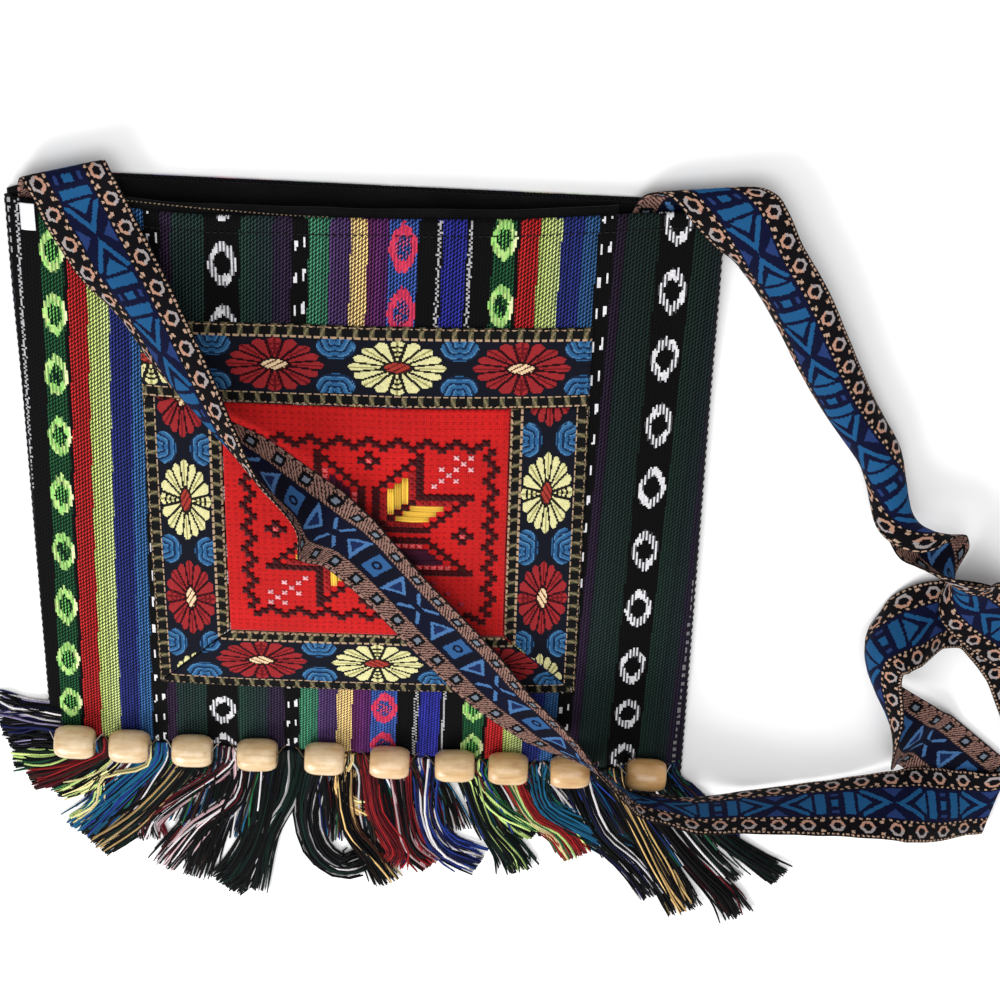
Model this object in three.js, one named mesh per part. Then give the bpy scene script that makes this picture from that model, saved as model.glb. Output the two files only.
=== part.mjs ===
// Tasselled crossbody bag lying on its back: striped cloth pouch, square applique
// framed in flower ribbon, row of wooden barrel beads, fringe and woven strap.
// Millimetres. +X to the right of the bag, +Y towards its mouth, +Z up.
import * as THREE from 'three';

// ---- driving dimensions -------------------------------------------------
const HALF_WIDTH = 139.7;       // half the width of the pouch
const WALL = 1.6;               // cloth of the pouch
const GAP = 0.3;                // clearance between pieces
const TRIM = 1.0;               // ribbon, panel, facing and label thickness
const EDGE_RISE = 3.6;          // outer height of the side and bottom seams
const BOTTOM_MID = -137.0;      // bottom edge at the middle
const BOTTOM_SLANT = -5.5;      // how much lower the right end of the bottom edge is
const BACK_MOUTH_MID = 144.4;   // back panel's mouth edge at the middle
const BACK_MOUTH_SLANT = -3.0;  // how much lower its right end is
const BACK_MOUTH_DIP = 8.4;     // how far its left corner turns down
const ACROSS_POWER = 2.8;       // how flat the crown is across the width
const PATCH_SIDE = 179;         // square applique
const PATCH_TURN = 0;           // degrees that it sits turned
const PATCH_CENTRE_X = 0.6;
const PATCH_CENTRE_Y = 0.6;
const RIBBON_WIDTH = 31.5;
const TOP_RIBBON_WIDTH = 34;
const STRAP_WIDTH = 34;
const STRAP_THICK = 1.6;
const STRAP_STEP = 14;          // spacing of the strap's cross sections
const STRAP_TURN = 24;          // degrees of twist between sections at most
const STRAP_SEGMENTS = 4;       // facets across the strap
const BEAD_LENGTH = 17.4;
const BEAD_RADIUS = 7.3;
const BEAD_END_RADIUS = 5.4;
const BEAD_HOLE_RADIUS = 1.9;
const BEAD_INSET = 10.5;        // from the bottom edge up to the bead row
const FACING_DEPTH = 42;        // black facing inside the mouth
const FRINGE_HEIGHT = 4.6;      // of a tuft where it leaves the bottom edge

// front panel's mouth edge: place along X, its Y, its outer height
const MOUTH = [
  { x: -140, y: 138.0, z: 6.9 }, { x: -104, y: 137.0, z: 10.6 }, { x: -60, y: 135.6, z: 14.0 },
  { x: 0, y: 135.8, z: 14.2 }, { x: 52, y: 136.4, z: 13.2 }, { x: 90, y: 138.0, z: 10.8 },
  { x: 140, y: 140.6, z: 6.9 },
];
// crown of the pouch down its middle: fraction from the mouth to the bottom, outer height
const CROWN = [
  { t: 0, z: 14.0 }, { t: 0.17, z: 16.6 }, { t: 0.29, z: 18.8 }, { t: 0.4, z: 19.8 },
  { t: 0.5, z: 19.4 }, { t: 0.61, z: 17.7 }, { t: 0.72, z: 15.0 }, { t: 0.84, z: 11.4 },
  { t: 0.93, z: 8.0 }, { t: 1, z: 3.6 },
];
// shallow dents and soft folds of the front: centre, reach both ways, depth (negative swells)
const DENTS = [
  { x: 113, y: 10, reachX: 15, reachY: 75, depth: 1.5 },
  { x: -113, y: -5, reachX: 15, reachY: 70, depth: 1.1 },
  { x: 20, y: 112, reachX: 80, reachY: 12, depth: 0.9 },
  { x: 60, y: -112, reachX: 40, reachY: 12, depth: 0.7 },
  { x: 20, y: 25, reachX: 45, reachY: 45, depth: -1.0 },
];
// wooden beads along the bottom, left to right
const BEAD_X = [-127.5, -103.5, -76, -47.6, -18.1, 10.4, 39, 62.4, 89.7, 123.2];
// fringe tufts: where each leaves the bottom edge, where its tip lies, its widths
const TUFTS = [
  { rootX: -131, tipX: -157, tipY: -147, rootWide: 14, tipWide: 7 },
  { rootX: -111, tipX: -133, tipY: -177, rootWide: 19, tipWide: 8 },
  { rootX: -88, tipX: -110, tipY: -189, rootWide: 19, tipWide: 9 },
  { rootX: -66, tipX: -84, tipY: -197, rootWide: 19, tipWide: 9 },
  { rootX: -43, tipX: -56, tipY: -206, rootWide: 20, tipWide: 13 },
  { rootX: -20, tipX: -15, tipY: -197, rootWide: 20, tipWide: 11 },
  { rootX: 3, tipX: 13, tipY: -201, rootWide: 20, tipWide: 8 },
  { rootX: 26, tipX: 39, tipY: -191, rootWide: 20, tipWide: 10 },
  { rootX: 48, tipX: 66, tipY: -192, rootWide: 19, tipWide: 9 },
  { rootX: 70, tipX: 93, tipY: -186, rootWide: 18, tipWide: 9 },
  { rootX: 91, tipX: 128, tipY: -207, rootWide: 17, tipWide: 9 },
  { rootX: 111, tipX: 158, tipY: -214, rootWide: 16, tipWide: 9 },
  { rootX: 130, tipX: 181, tipY: -197, rootWide: 15, tipWide: 7 },
];
// strap, from its left end in the mouth round to its right end: middle of the section,
// its height (none: it lies on what is under it), direction of its width seen from above,
// how far that width is tipped up, and how far the section is curled
const STRAP = [
  { x: -119, y: 112, z: 4.05, across: 0, tip: 0, curl: 0 },
  { x: -118.5, y: 127, z: 4.05, across: 0, tip: 0, curl: 0 },
  { x: -117.8, y: 139, z: 4.3, across: 4, tip: 0, curl: 0 },
  { x: -116.5, y: 147.5, z: 7, across: 10, tip: 0, curl: 0 },
  { x: -115, y: 152.4, z: 11.4, across: 15, tip: 0, curl: 0 },
  { x: -112, y: 148.5, z: 15, across: 18, tip: 3, curl: 0 },
  { x: -107, y: 135.5, z: null, across: 20, tip: 2, curl: 0 },
  { x: -97.6, y: 118.4, z: null, across: 24, tip: 8, curl: 22 },
  { x: -86, y: 100.2, z: null, across: 28, tip: 25, curl: 54 },
  { x: -72.5, y: 75.4, z: null, across: 33, tip: 38, curl: 68 },
  { x: -58.5, y: 53.9, z: null, across: 38, tip: 62, curl: 81 },
  { x: -42.8, y: 37, z: null, across: 41, tip: 92, curl: 81 },
  { x: -25.1, y: 18.8, z: null, across: 43, tip: 110, curl: 81 },
  { x: -15.2, y: 6.2, z: null, across: 43, tip: 164, curl: 62 },
  { x: -1.2, y: -9.1, z: null, across: 42, tip: 190, curl: 52 },
  { x: 19.5, y: -34.2, z: null, across: 41, tip: 198, curl: 45 },
  { x: 41.2, y: -62, z: null, across: 41, tip: 198, curl: 46 },
  { x: 62.4, y: -88.4, z: null, across: 40, tip: 207, curl: 50 },
  { x: 84.5, y: -107.6, z: null, across: 40, tip: 220, curl: 38 },
  { x: 96, y: -111.2, z: 32, across: 42, tip: 237, curl: 24 },
  { x: 107.5, y: -121.6, z: 31.4, across: 46, tip: 246, curl: 26 },
  { x: 119, y: -137, z: null, across: 60, tip: 250, curl: 36 },
  { x: 132, y: -139.8, z: null, across: 76, tip: 254, curl: 34 },
  { x: 146, y: -142.8, z: null, across: 87, tip: 259, curl: 32 },
  { x: 164, y: -143.7, z: null, across: 92, tip: 263, curl: 30 },
  { x: 186, y: -141.9, z: null, across: 95, tip: 270, curl: 28 },
  { x: 212, y: -139.4, z: null, across: 97, tip: 281, curl: 34 },
  { x: 236, y: -136.8, z: 21.4, across: 98, tip: 302, curl: 44 },
  { x: 254, y: -142.6, z: 14.2, across: 98, tip: 336, curl: 38 },
  { x: 268, y: -147.6, z: 6.2, across: 96, tip: 354, curl: 14 },
  { x: 278.5, y: -148.6, z: 3.9, across: 86, tip: 360, curl: 0 },
  { x: 281, y: -147.6, z: 2.6, across: 74, tip: 360, curl: 0 },
  { x: 278.5, y: -145.6, z: 1.3, across: 62, tip: 360, curl: 0 },
  { x: 269, y: -137, z: 1.2, across: 50, tip: 360, curl: 0 },
  { x: 258, y: -127, z: 1.8, across: 46, tip: 359, curl: 0 },
  { x: 248, y: -117.6, z: 1.8, across: 45, tip: 359, curl: 4 },
  { x: 239, y: -108, z: null, across: 43, tip: 334, curl: 30 },
  { x: 230, y: -97.5, z: null, across: 36, tip: 298, curl: 66 },
  { x: 223, y: -87, z: null, across: 24, tip: 268, curl: 95 },
  { x: 218, y: -76.5, z: null, across: 16, tip: 256, curl: 105 },
  { x: 215, y: -66, z: null, across: 8, tip: 250, curl: 105 },
  { x: 216, y: -56.5, z: null, across: -16, tip: 246, curl: 95 },
  { x: 223, y: -50, z: null, across: -54, tip: 238, curl: 80 },
  { x: 234, y: -47.6, z: 13.4, across: -76, tip: 212, curl: 34 },
  { x: 247, y: -48, z: 2.8, across: -88, tip: 184, curl: 4 },
  { x: 261, y: -50.5, z: 1.2, across: -108, tip: 180, curl: 0 },
  { x: 273, y: -60.5, z: 1.2, across: -134, tip: 180, curl: 0 },
  { x: 283, y: -74, z: 1.2, across: -148, tip: 180, curl: 0 },
  { x: 290, y: -89, z: 1.4, across: -152, tip: 180, curl: 0 },
  { x: 297, y: -102, z: null, across: -146, tip: 200, curl: 0 },
  { x: 308, y: -113, z: null, across: -124, tip: 235, curl: 0 },
  { x: 322, y: -117, z: null, across: -94, tip: 265, curl: 0 },
  { x: 336, y: -111, z: null, across: -50, tip: 270, curl: 0 },
  { x: 342, y: -98, z: null, across: 0, tip: 270, curl: 0 },
  { x: 337, y: -84, z: null, across: 36, tip: 270, curl: 0 },
  { x: 325, y: -75, z: null, across: 62, tip: 265, curl: 0 },
  { x: 311, y: -70, z: 17, across: 72, tip: 232, curl: 0 },
  { x: 297, y: -66, z: 9.4, across: 70, tip: 196, curl: 0 },
  { x: 284, y: -60, z: 7.6, across: 58, tip: 182, curl: 0 },
  { x: 270, y: -49.5, z: 8.8, across: 47, tip: 180, curl: 0 },
  { x: 257, y: -36.5, z: 15.5, across: 43, tip: 187, curl: 28 },
  { x: 248.5, y: -26, z: 20, across: 42, tip: 236, curl: 110 },
  { x: 240.5, y: -15.5, z: null, across: 41, tip: 300, curl: 172 },
  { x: 233.5, y: -5, z: null, across: 40, tip: 365, curl: 205 },
  { x: 226.3, y: 6, z: null, across: 39, tip: 440, curl: 220 },
  { x: 218, y: 18.5, z: null, across: 37, tip: 510, curl: 235 },
  { x: 204.6, y: 36, z: null, across: 35, tip: 562, curl: 222 },
  { x: 191.6, y: 54.5, z: null, across: 33, tip: 566, curl: 185 },
  { x: 181.2, y: 73.5, z: null, across: 32, tip: 566, curl: 142 },
  { x: 168, y: 100.5, z: null, across: 31, tip: 566, curl: 112 },
  { x: 155.6, y: 121.5, z: null, across: 32, tip: 563, curl: 100 },
  { x: 148, y: 136, z: 15.5, across: 32, tip: 549, curl: 48 },
  { x: 141, y: 145.5, z: 14, across: 20, tip: 540, curl: 14 },
  { x: 134, y: 150, z: 10.8, across: 8, tip: 540, curl: 0 },
  { x: 126, y: 147.2, z: 6.4, across: 3, tip: 540, curl: 0 },
  { x: 121, y: 139.5, z: 4.2, across: 0, tip: 540, curl: 0 },
  { x: 119.5, y: 127, z: 4.05, across: 0, tip: 540, curl: 0 },
  { x: 119, y: 112, z: 4.05, across: 0, tip: 540, curl: 0 },
];

// ---- helpers ------------------------------------------------------------
const rad = (d) => d * Math.PI / 180;
const clamp01 = (v) => Math.min(1, Math.max(0, v));
const smooth = (a, b, v) => { const q = clamp01((v - a) / (b - a)); return q * q * (3 - 2 * q); };

// a smooth curve through the rows of a table, without overshoot
function through(rows, key, value) {
  const xs = rows.map((r) => r[key]), ys = rows.map((r) => r[value]);
  const n = xs.length, slope = [], tangent = new Array(n).fill(0);
  for (let i = 0; i < n - 1; i++) slope.push((ys[i + 1] - ys[i]) / (xs[i + 1] - xs[i]));
  tangent[0] = slope[0]; tangent[n - 1] = slope[n - 2];
  for (let i = 1; i < n - 1; i++) {
    tangent[i] = slope[i - 1] * slope[i] <= 0 ? 0 : 2 * slope[i - 1] * slope[i] / (slope[i - 1] + slope[i]);
  }
  return (x) => {
    if (x <= xs[0]) return ys[0];
    if (x >= xs[n - 1]) return ys[n - 1];
    let i = 0; while (x > xs[i + 1]) i++;
    const h = xs[i + 1] - xs[i], q = (x - xs[i]) / h, q2 = q * q, q3 = q2 * q;
    return ys[i] * (2 * q3 - 3 * q2 + 1) + tangent[i] * h * (q3 - 2 * q2 + q)
      + ys[i + 1] * (3 * q2 - 2 * q3) + tangent[i + 1] * h * (q3 - q2);
  };
}

const mouthY = through(MOUTH, 'x', 'y');
const mouthZ = through(MOUTH, 'x', 'z');
const crownZ = through(CROWN, 't', 'z');
const bottomY = (x) => BOTTOM_MID + BOTTOM_SLANT * x / HALF_WIDTH;
const backMouthY = (x) => BACK_MOUTH_MID + BACK_MOUTH_SLANT * x / HALF_WIDTH - BACK_MOUTH_DIP * smooth(-116, -HALF_WIDTH, x);

// outer height of the front panel over a place on the ground plane
function frontHeight(x, y) {
  const t = clamp01((mouthY(x) - y) / (mouthY(x) - bottomY(x)));
  const across = Math.max(0, 1 - Math.pow(Math.min(1, Math.abs(x) / HALF_WIDTH), ACROSS_POWER));
  const dome = EDGE_RISE + (crownZ(t) - EDGE_RISE) * across;
  const blend = smooth(0.11, 0.34, t);
  let z = mouthZ(x) * (1 - blend) + dome * blend;
  for (const d of DENTS) {
    z -= d.depth * across * Math.exp(-(((x - d.x) / d.reachX) ** 2) - (((y - d.y) / d.reachY) ** 2));
  }
  return Math.max(z, EDGE_RISE);
}

// what the strap lies on: the front with its applique, the fringe, or the ground
function restHeight(x, y) {
  if (Math.abs(x) <= HALF_WIDTH + 1 && y <= mouthY(x) + 1 && y >= bottomY(x) - 1) {
    const onPatch = Math.abs(x - PATCH_CENTRE_X) < PATCH_SIDE / 2 + 4 && Math.abs(y - PATCH_CENTRE_Y) < PATCH_SIDE / 2 + 4;
    return frontHeight(x, y) + (onPatch ? TRIM + GAP : 0);
  }
  const drop = bottomY(Math.min(x, HALF_WIDTH)) - y;
  if (drop > -1 && drop < 80 && x > -160 && x < HALF_WIDTH + 0.9 * drop) return FRINGE_HEIGHT + 0.4;
  return 0;
}

// a closed body from two matching grids of points, facing out
function bodyFromGrids(upper, lower) {
  const rows = upper.length, cols = upper[0].length, pos = [], idx = [];
  const put = (g) => { const base = pos.length / 3; for (const r of g) for (const p of r) pos.push(p[0], p[1], p[2]); return base; };
  const a = put(upper), b = put(lower);
  const at = (base, i, j) => base + i * cols + j;
  for (let i = 0; i < rows - 1; i++) for (let j = 0; j < cols - 1; j++) {
    idx.push(at(a, i, j), at(a, i + 1, j), at(a, i + 1, j + 1), at(a, i, j), at(a, i + 1, j + 1), at(a, i, j + 1));
    idx.push(at(b, i, j), at(b, i + 1, j + 1), at(b, i + 1, j), at(b, i, j), at(b, i, j + 1), at(b, i + 1, j + 1));
  }
  const rim = [];
  for (let j = 0; j < cols - 1; j++) rim.push([0, j, 0, j + 1]);
  for (let i = 0; i < rows - 1; i++) rim.push([i, cols - 1, i + 1, cols - 1]);
  for (let j = cols - 1; j > 0; j--) rim.push([rows - 1, j, rows - 1, j - 1]);
  for (let i = rows - 1; i > 0; i--) rim.push([i, 0, i - 1, 0]);
  for (const [i0, j0, i1, j1] of rim) {
    idx.push(at(a, i0, j0), at(a, i1, j1), at(b, i1, j1), at(a, i0, j0), at(b, i1, j1), at(b, i0, j0));
  }
  return finish(pos, idx);
}

function finish(pos, idx) {
  let volume = 0;
  const v = (k) => new THREE.Vector3(pos[3 * k], pos[3 * k + 1], pos[3 * k + 2]);
  for (let k = 0; k < idx.length; k += 3) volume += v(idx[k]).dot(v(idx[k + 1]).cross(v(idx[k + 2]))) / 6;
  if (volume < 0) for (let k = 0; k < idx.length; k += 3) { const s = idx[k + 1]; idx[k + 1] = idx[k + 2]; idx[k + 2] = s; }
  const g = new THREE.BufferGeometry();
  g.setAttribute('position', new THREE.Float32BufferAttribute(pos, 3));
  g.setIndex(idx);
  g.computeVertexNormals();
  return g;
}

// a sheet between two heights over a region of the ground plane, (a, b) running 0 to 1
function sheetOver(place, cols, rows, top, bottom) {
  const upper = [], lower = [];
  for (let i = 0; i <= rows; i++) {
    const ru = [], rl = [];
    for (let j = 0; j <= cols; j++) {
      const [x, y] = place(j / cols, i / rows);
      ru.push([x, y, top(x, y)]); rl.push([x, y, bottom(x, y)]);
    }
    upper.push(ru); lower.push(rl);
  }
  return bodyFromGrids(upper, lower);
}

const group = new THREE.Group();
function add(name, geometry, color, roughness) {
  const m = new THREE.Mesh(geometry, new THREE.MeshStandardMaterial({ color, roughness, metalness: 0 }));
  m.name = name;
  group.add(m);
}

// ---- pouch --------------------------------------------------------------
// columns closer together near the side seams, where the front turns down
const columnX = (a) => { const q = 2 * a - 1; return HALF_WIDTH * Math.sign(q) * (1 - Math.pow(1 - Math.abs(q), 1.25)); };
add('front_panel', sheetOver(
  (a, b) => { const x = columnX(a); return [x, mouthY(x) + (bottomY(x) - mouthY(x)) * b]; },
  20, 20, frontHeight, (x, y) => frontHeight(x, y) - WALL), 0x2c4038, 0.9);
add('back_panel', sheetOver(
  (a, b) => { const x = HALF_WIDTH * (2 * a - 1); return [x, backMouthY(x) + (bottomY(x) - backMouthY(x)) * b]; },
  12, 4, () => WALL, () => 0), 0x27302e, 0.9);

// black facing sewn inside the mouth, on the back and along the front edge
const FACING_HALF = HALF_WIDTH - 2;
const FRONT_FACING_HALF = 98;   // stops short of the strap ends
const FRONT_FACING_DEPTH = 20;
const FRONT_FACING_PROUD = 3.2;
add('back_facing', sheetOver(
  (a, b) => { const x = FACING_HALF * (2 * a - 1); return [x, backMouthY(x) - 1.2 - FACING_DEPTH * b]; },
  12, 2, () => WALL + GAP + TRIM, () => WALL + GAP), 0x121214, 0.9);
add('front_facing', sheetOver(
  (a, b) => { const x = FRONT_FACING_HALF * (2 * a - 1); return [x, mouthY(x) + FRONT_FACING_PROUD - (FRONT_FACING_DEPTH + FRONT_FACING_PROUD) * b]; },
  20, 4, (x, y) => frontHeight(x, Math.min(y, mouthY(x))) - WALL - GAP - 0.15,
  (x, y) => frontHeight(x, Math.min(y, mouthY(x))) - WALL - GAP - 0.15 - TRIM), 0x121214, 0.9);

// ---- applique -----------------------------------------------------------
// patch coordinates: p to the right from its left edge, q down from its top edge
function onPatch(p, q) {
  const c = Math.cos(rad(PATCH_TURN)), s = Math.sin(rad(PATCH_TURN));
  const px = p - PATCH_SIDE / 2, py = PATCH_SIDE / 2 - q;
  return [PATCH_CENTRE_X + px * c - py * s, PATCH_CENTRE_Y + px * s + py * c];
}
const SEAM = 0.2;               // half the gap where two trims meet
const LIFT = GAP + 0.1;         // above the cloth, over its facets
const trimTop = (x, y) => frontHeight(x, y) + LIFT + TRIM;
const trimBottom = (x, y) => frontHeight(x, y) + LIFT;
const S = PATCH_SIDE, R = RIBBON_WIDTH, T = TOP_RIBBON_WIDTH;
add('ribbon_top', sheetOver((a, b) => onPatch(S * a, (T - SEAM) * b), 12, 3, trimTop, trimBottom), 0x1c1f33, 0.85);
add('ribbon_left', sheetOver((a, b) => {
  const q0 = T + SEAM, q1 = S - SEAM * 2 - a * R;          // mitred at the lower end
  return onPatch((R - SEAM) * a, q0 + (q1 - q0) * b);
}, 3, 12, trimTop, trimBottom), 0x1c1f33, 0.85);
add('ribbon_right', sheetOver((a, b) => {
  const q0 = T + SEAM, q1 = S - SEAM * 2 - (1 - a) * R;
  return onPatch(S - (R - SEAM) * (1 - a), q0 + (q1 - q0) * b);
}, 3, 12, trimTop, trimBottom), 0x1c1f33, 0.85);
add('ribbon_bottom', sheetOver((a, b) => {
  const inset = (R + SEAM) * (1 - b) + SEAM * 2 * b;
  return onPatch(inset + (S - 2 * inset) * a, S - (R - SEAM) * (1 - b));
}, 12, 3, trimTop, trimBottom), 0x1c1f33, 0.85);
const FIELD = R + SEAM * 2;     // the ribbons frame the stitched panel
const FIELD_TOP = T + SEAM * 2;
add('cross_stitch_panel', sheetOver((a, b) => onPatch(FIELD + (S - 2 * FIELD) * a, FIELD_TOP + (S - FIELD - FIELD_TOP) * b),
  10, 10, trimTop, trimBottom), 0xd62626, 0.85);

// small blank label in the left seam, by the strap
const LABEL = { x0: -133.5, x1: -127.5, y0: 125, y1: 136.5 };
add('side_label', sheetOver((a, b) => [LABEL.x0 + (LABEL.x1 - LABEL.x0) * a, LABEL.y1 + (LABEL.y0 - LABEL.y1) * b],
  3, 3, trimTop, trimBottom), 0xe8e8ea, 0.8);

// ---- beads --------------------------------------------------------------
function beadGeometry() {
  const h = BEAD_LENGTH / 2;
  const profile = [
    [BEAD_HOLE_RADIUS, -h + 0.6], [BEAD_END_RADIUS, -h], [BEAD_RADIUS - 0.5, -h + 2.6], [BEAD_RADIUS, -h * 0.25],
    [BEAD_RADIUS, h * 0.25], [BEAD_RADIUS - 0.5, h - 2.6], [BEAD_END_RADIUS, h], [BEAD_HOLE_RADIUS, h - 0.6],
    [BEAD_HOLE_RADIUS, -h + 0.6],
  ].map(([r, y]) => new THREE.Vector2(r, y));
  const g = new THREE.LatheGeometry(profile, 12);
  g.rotateZ(-Math.PI / 2);       // its hole runs along X
  return g;
}
BEAD_X.forEach((x, k) => {
  const y = bottomY(x) + BEAD_INSET;
  let rest = 0;
  for (let a = -1; a <= 1; a += 0.5) for (let b = -1; b <= 1; b += 0.5) {
    const r = BEAD_RADIUS * Math.sqrt(1 - b * b);
    rest = Math.max(rest, frontHeight(x + a * BEAD_LENGTH / 2, y + b * BEAD_RADIUS) + r);
  }
  const g = beadGeometry();
  g.translate(x, y, rest + GAP);
  add('bead_' + String(k + 1).padStart(2, '0'), g, 0xcda87a, 0.35);
});

// ---- fringe -------------------------------------------------------------
// each tuft: outer form of its threads, leaving the bottom edge and swept along the ground
const TUFT_STEPS = 5;
const TUFT_ROOT_GAP = 0.5;
TUFTS.forEach((t, k) => {
  const rootY = (x) => bottomY(x) - TUFT_ROOT_GAP;
  const upper = [], lower = [];
  for (let i = 0; i <= TUFT_STEPS; i++) {
    const f = i / TUFT_STEPS;
    // leaves straight out of the edge, then sweeps to its tip
    const sweep = f * f * (1.6 - 0.6 * f);
    const cx = t.rootX + (t.tipX - t.rootX) * sweep;
    const cy = rootY(t.rootX) + (t.tipY - rootY(t.rootX)) * f;
    const wide = (t.rootWide + (t.tipWide - t.rootWide) * f * f) / 2;
    const high = FRINGE_HEIGHT * (1 - 0.55 * f * f);
    const ru = [], rl = [];
    for (const [side, lift] of [[-1, 0.5], [-0.45, 1], [0.45, 1], [1, 0.5]]) {
      const x = cx + side * wide;
      const y = i === 0 ? rootY(x) : cy + (rootY(x) - rootY(cx)) * (1 - f);
      ru.push([x, y, high * lift]); rl.push([x, y, 0]);
    }
    upper.push(ru); lower.push(rl);
  }
  add('fringe_' + String(k + 1).padStart(2, '0'), bodyFromGrids(upper, lower), 0x24332f, 0.95);
});

// ---- strap --------------------------------------------------------------
function strapSections() {
  // route with its length measured through the rows
  const rows = STRAP.map((r) => ({ ...r }));
  let along = 0;
  rows.forEach((r, i) => {
    if (i) {
      const p = rows[i - 1], dz = r.z !== null && p.z !== null ? r.z - p.z : 0;
      along += Math.hypot(r.x - p.x, r.y - p.y, dz);
    }
    r.s = along;
  });
  const curve = {};
  for (const key of ['x', 'y', 'across', 'tip', 'curl']) curve[key] = through(rows, 's', key);
  // smoother route in plan: cubic through the rows
  const plan = new THREE.CatmullRomCurve3(rows.map((r) => new THREE.Vector3(r.x, r.y, 0)), false, 'centripetal');
  const planAt = (s) => {
    let i = 0; while (i < rows.length - 2 && s > rows[i + 1].s) i++;
    return plan.getPoint((i + clamp01((s - rows[i].s) / (rows[i + 1].s - rows[i].s))) / (rows.length - 1));
  };
  const stations = [];
  rows.forEach((r, i) => {
    if (!i) { stations.push(r.s); return; }
    const span = r.s - rows[i - 1].s, turn = Math.abs(r.tip - rows[i - 1].tip);
    const n = Math.max(1, Math.ceil(span / STRAP_STEP), Math.ceil(turn / STRAP_TURN));
    for (let k = 1; k <= n; k++) stations.push(rows[i - 1].s + span * k / n);
  });
  const section = (s) => {
    const c = planAt(s), w = new THREE.Vector3(
      Math.cos(rad(curve.across(s))) * Math.cos(rad(curve.tip(s))),
      Math.sin(rad(curve.across(s))) * Math.cos(rad(curve.tip(s))), Math.sin(rad(curve.tip(s))));
    return { s, x: c.x, y: c.y, w, curl: curve.curl(s) };
  };
  const list = stations.map(section);
  // heights: given, or resting on what lies below the whole width of the section
  const lifts = list.map((q, i) => {
    const a = list[Math.max(0, i - 1)], b = list[Math.min(list.length - 1, i + 1)];
    const level = new THREE.Vector3(b.x - a.x, b.y - a.y, 0).normalize();
    const n = level.cross(q.w).normalize();
    const bend = Math.max(0.001, rad(q.curl)), radius = STRAP_WIDTH / bend;
    let z = 0;
    for (let k = -4; k <= 4; k++) {
      const turn = bend * k / 8;
      const off = q.w.clone().multiplyScalar(radius * Math.sin(turn)).addScaledVector(n, -radius * (1 - Math.cos(turn)));
      z = Math.max(z, restHeight(q.x + off.x, q.y + off.y) - off.z);
    }
    return z + GAP + 0.5 + STRAP_THICK / 2;
  });
  const reach = 10;
  const running = (vals, pick) => list.map((q, i) => {
    const near = vals.filter((_, j) => Math.abs(list[j].s - q.s) <= reach);
    return pick(near);
  });
  const rested = running(running(lifts, (v) => Math.max(...v)), (v) => v.reduce((m, n) => m + n, 0) / v.length);
  const given = rows.map((r) => ({ s: r.s, z: r.z }));
  list.forEach((q, i) => {
    let k = 0; while (k < given.length - 2 && q.s > given[k + 1].s) k++;
    const f = clamp01((q.s - given[k].s) / (given[k + 1].s - given[k].s));
    const ends = [given[k], given[k + 1]].map((g) => g.z);
    const own = rested[i];
    const z0 = ends[0] === null ? own : ends[0], z1 = ends[1] === null ? own : ends[1];
    q.z = z0 + (z1 - z0) * f;
  });
  list.forEach((q, i) => {
    const a = list[Math.max(0, i - 1)], b = list[Math.min(list.length - 1, i + 1)];
    q.t = new THREE.Vector3(b.x - a.x, b.y - a.y, b.z - a.z).normalize();
    q.n = new THREE.Vector3().crossVectors(q.t, q.w).normalize();
  });
  return list;
}
{
  const upper = [], lower = [];
  for (const q of strapSections()) {
    const bend = Math.max(0.001, rad(q.curl)), radius = STRAP_WIDTH / bend;
    const ru = [], rl = [];
    for (let k = 0; k <= STRAP_SEGMENTS; k++) {
      const a = bend * (k / STRAP_SEGMENTS - 0.5);
      const out = radius * Math.sin(a), in_ = -radius * (1 - Math.cos(a));   // edges curl to the reverse
      const dir = q.n.clone().multiplyScalar(Math.cos(a)).addScaledVector(q.w, Math.sin(a));
      const mid = new THREE.Vector3(q.x, q.y, q.z).addScaledVector(q.w, out).addScaledVector(q.n, in_);
      const up = mid.clone().addScaledVector(dir, STRAP_THICK / 2), dn = mid.clone().addScaledVector(dir, -STRAP_THICK / 2);
      ru.push([up.x, up.y, up.z]); rl.push([dn.x, dn.y, dn.z]);
    }
    upper.push(ru); lower.push(rl);
  }
  add('strap', bodyFromGrids(upper, lower), 0x2a5f9a, 0.85);
}

export default group;
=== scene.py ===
"""Looks of the tasselled crossbody bag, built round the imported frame.

Everything here is in millimetres until it becomes a mesh, where it is scaled to metres.
x runs to the right of the bag, y towards its mouth, z up from the surface that it lies on.
"""

import math

import bpy
import numpy as np
from mathutils import Matrix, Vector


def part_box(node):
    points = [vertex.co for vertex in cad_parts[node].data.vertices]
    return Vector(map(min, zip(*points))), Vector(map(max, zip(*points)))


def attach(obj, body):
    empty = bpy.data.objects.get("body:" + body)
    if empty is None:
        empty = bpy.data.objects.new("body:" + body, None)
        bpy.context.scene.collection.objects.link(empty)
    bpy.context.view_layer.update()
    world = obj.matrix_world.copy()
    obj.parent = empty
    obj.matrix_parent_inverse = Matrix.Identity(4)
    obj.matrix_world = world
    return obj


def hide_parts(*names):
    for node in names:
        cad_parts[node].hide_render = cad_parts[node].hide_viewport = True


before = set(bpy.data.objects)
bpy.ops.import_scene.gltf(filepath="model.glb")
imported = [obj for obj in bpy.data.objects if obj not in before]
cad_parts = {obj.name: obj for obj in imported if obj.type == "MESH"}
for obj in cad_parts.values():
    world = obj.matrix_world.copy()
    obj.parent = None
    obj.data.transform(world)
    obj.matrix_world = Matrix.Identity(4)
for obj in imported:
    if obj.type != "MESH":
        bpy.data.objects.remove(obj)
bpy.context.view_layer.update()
MM = 0.001

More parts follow.
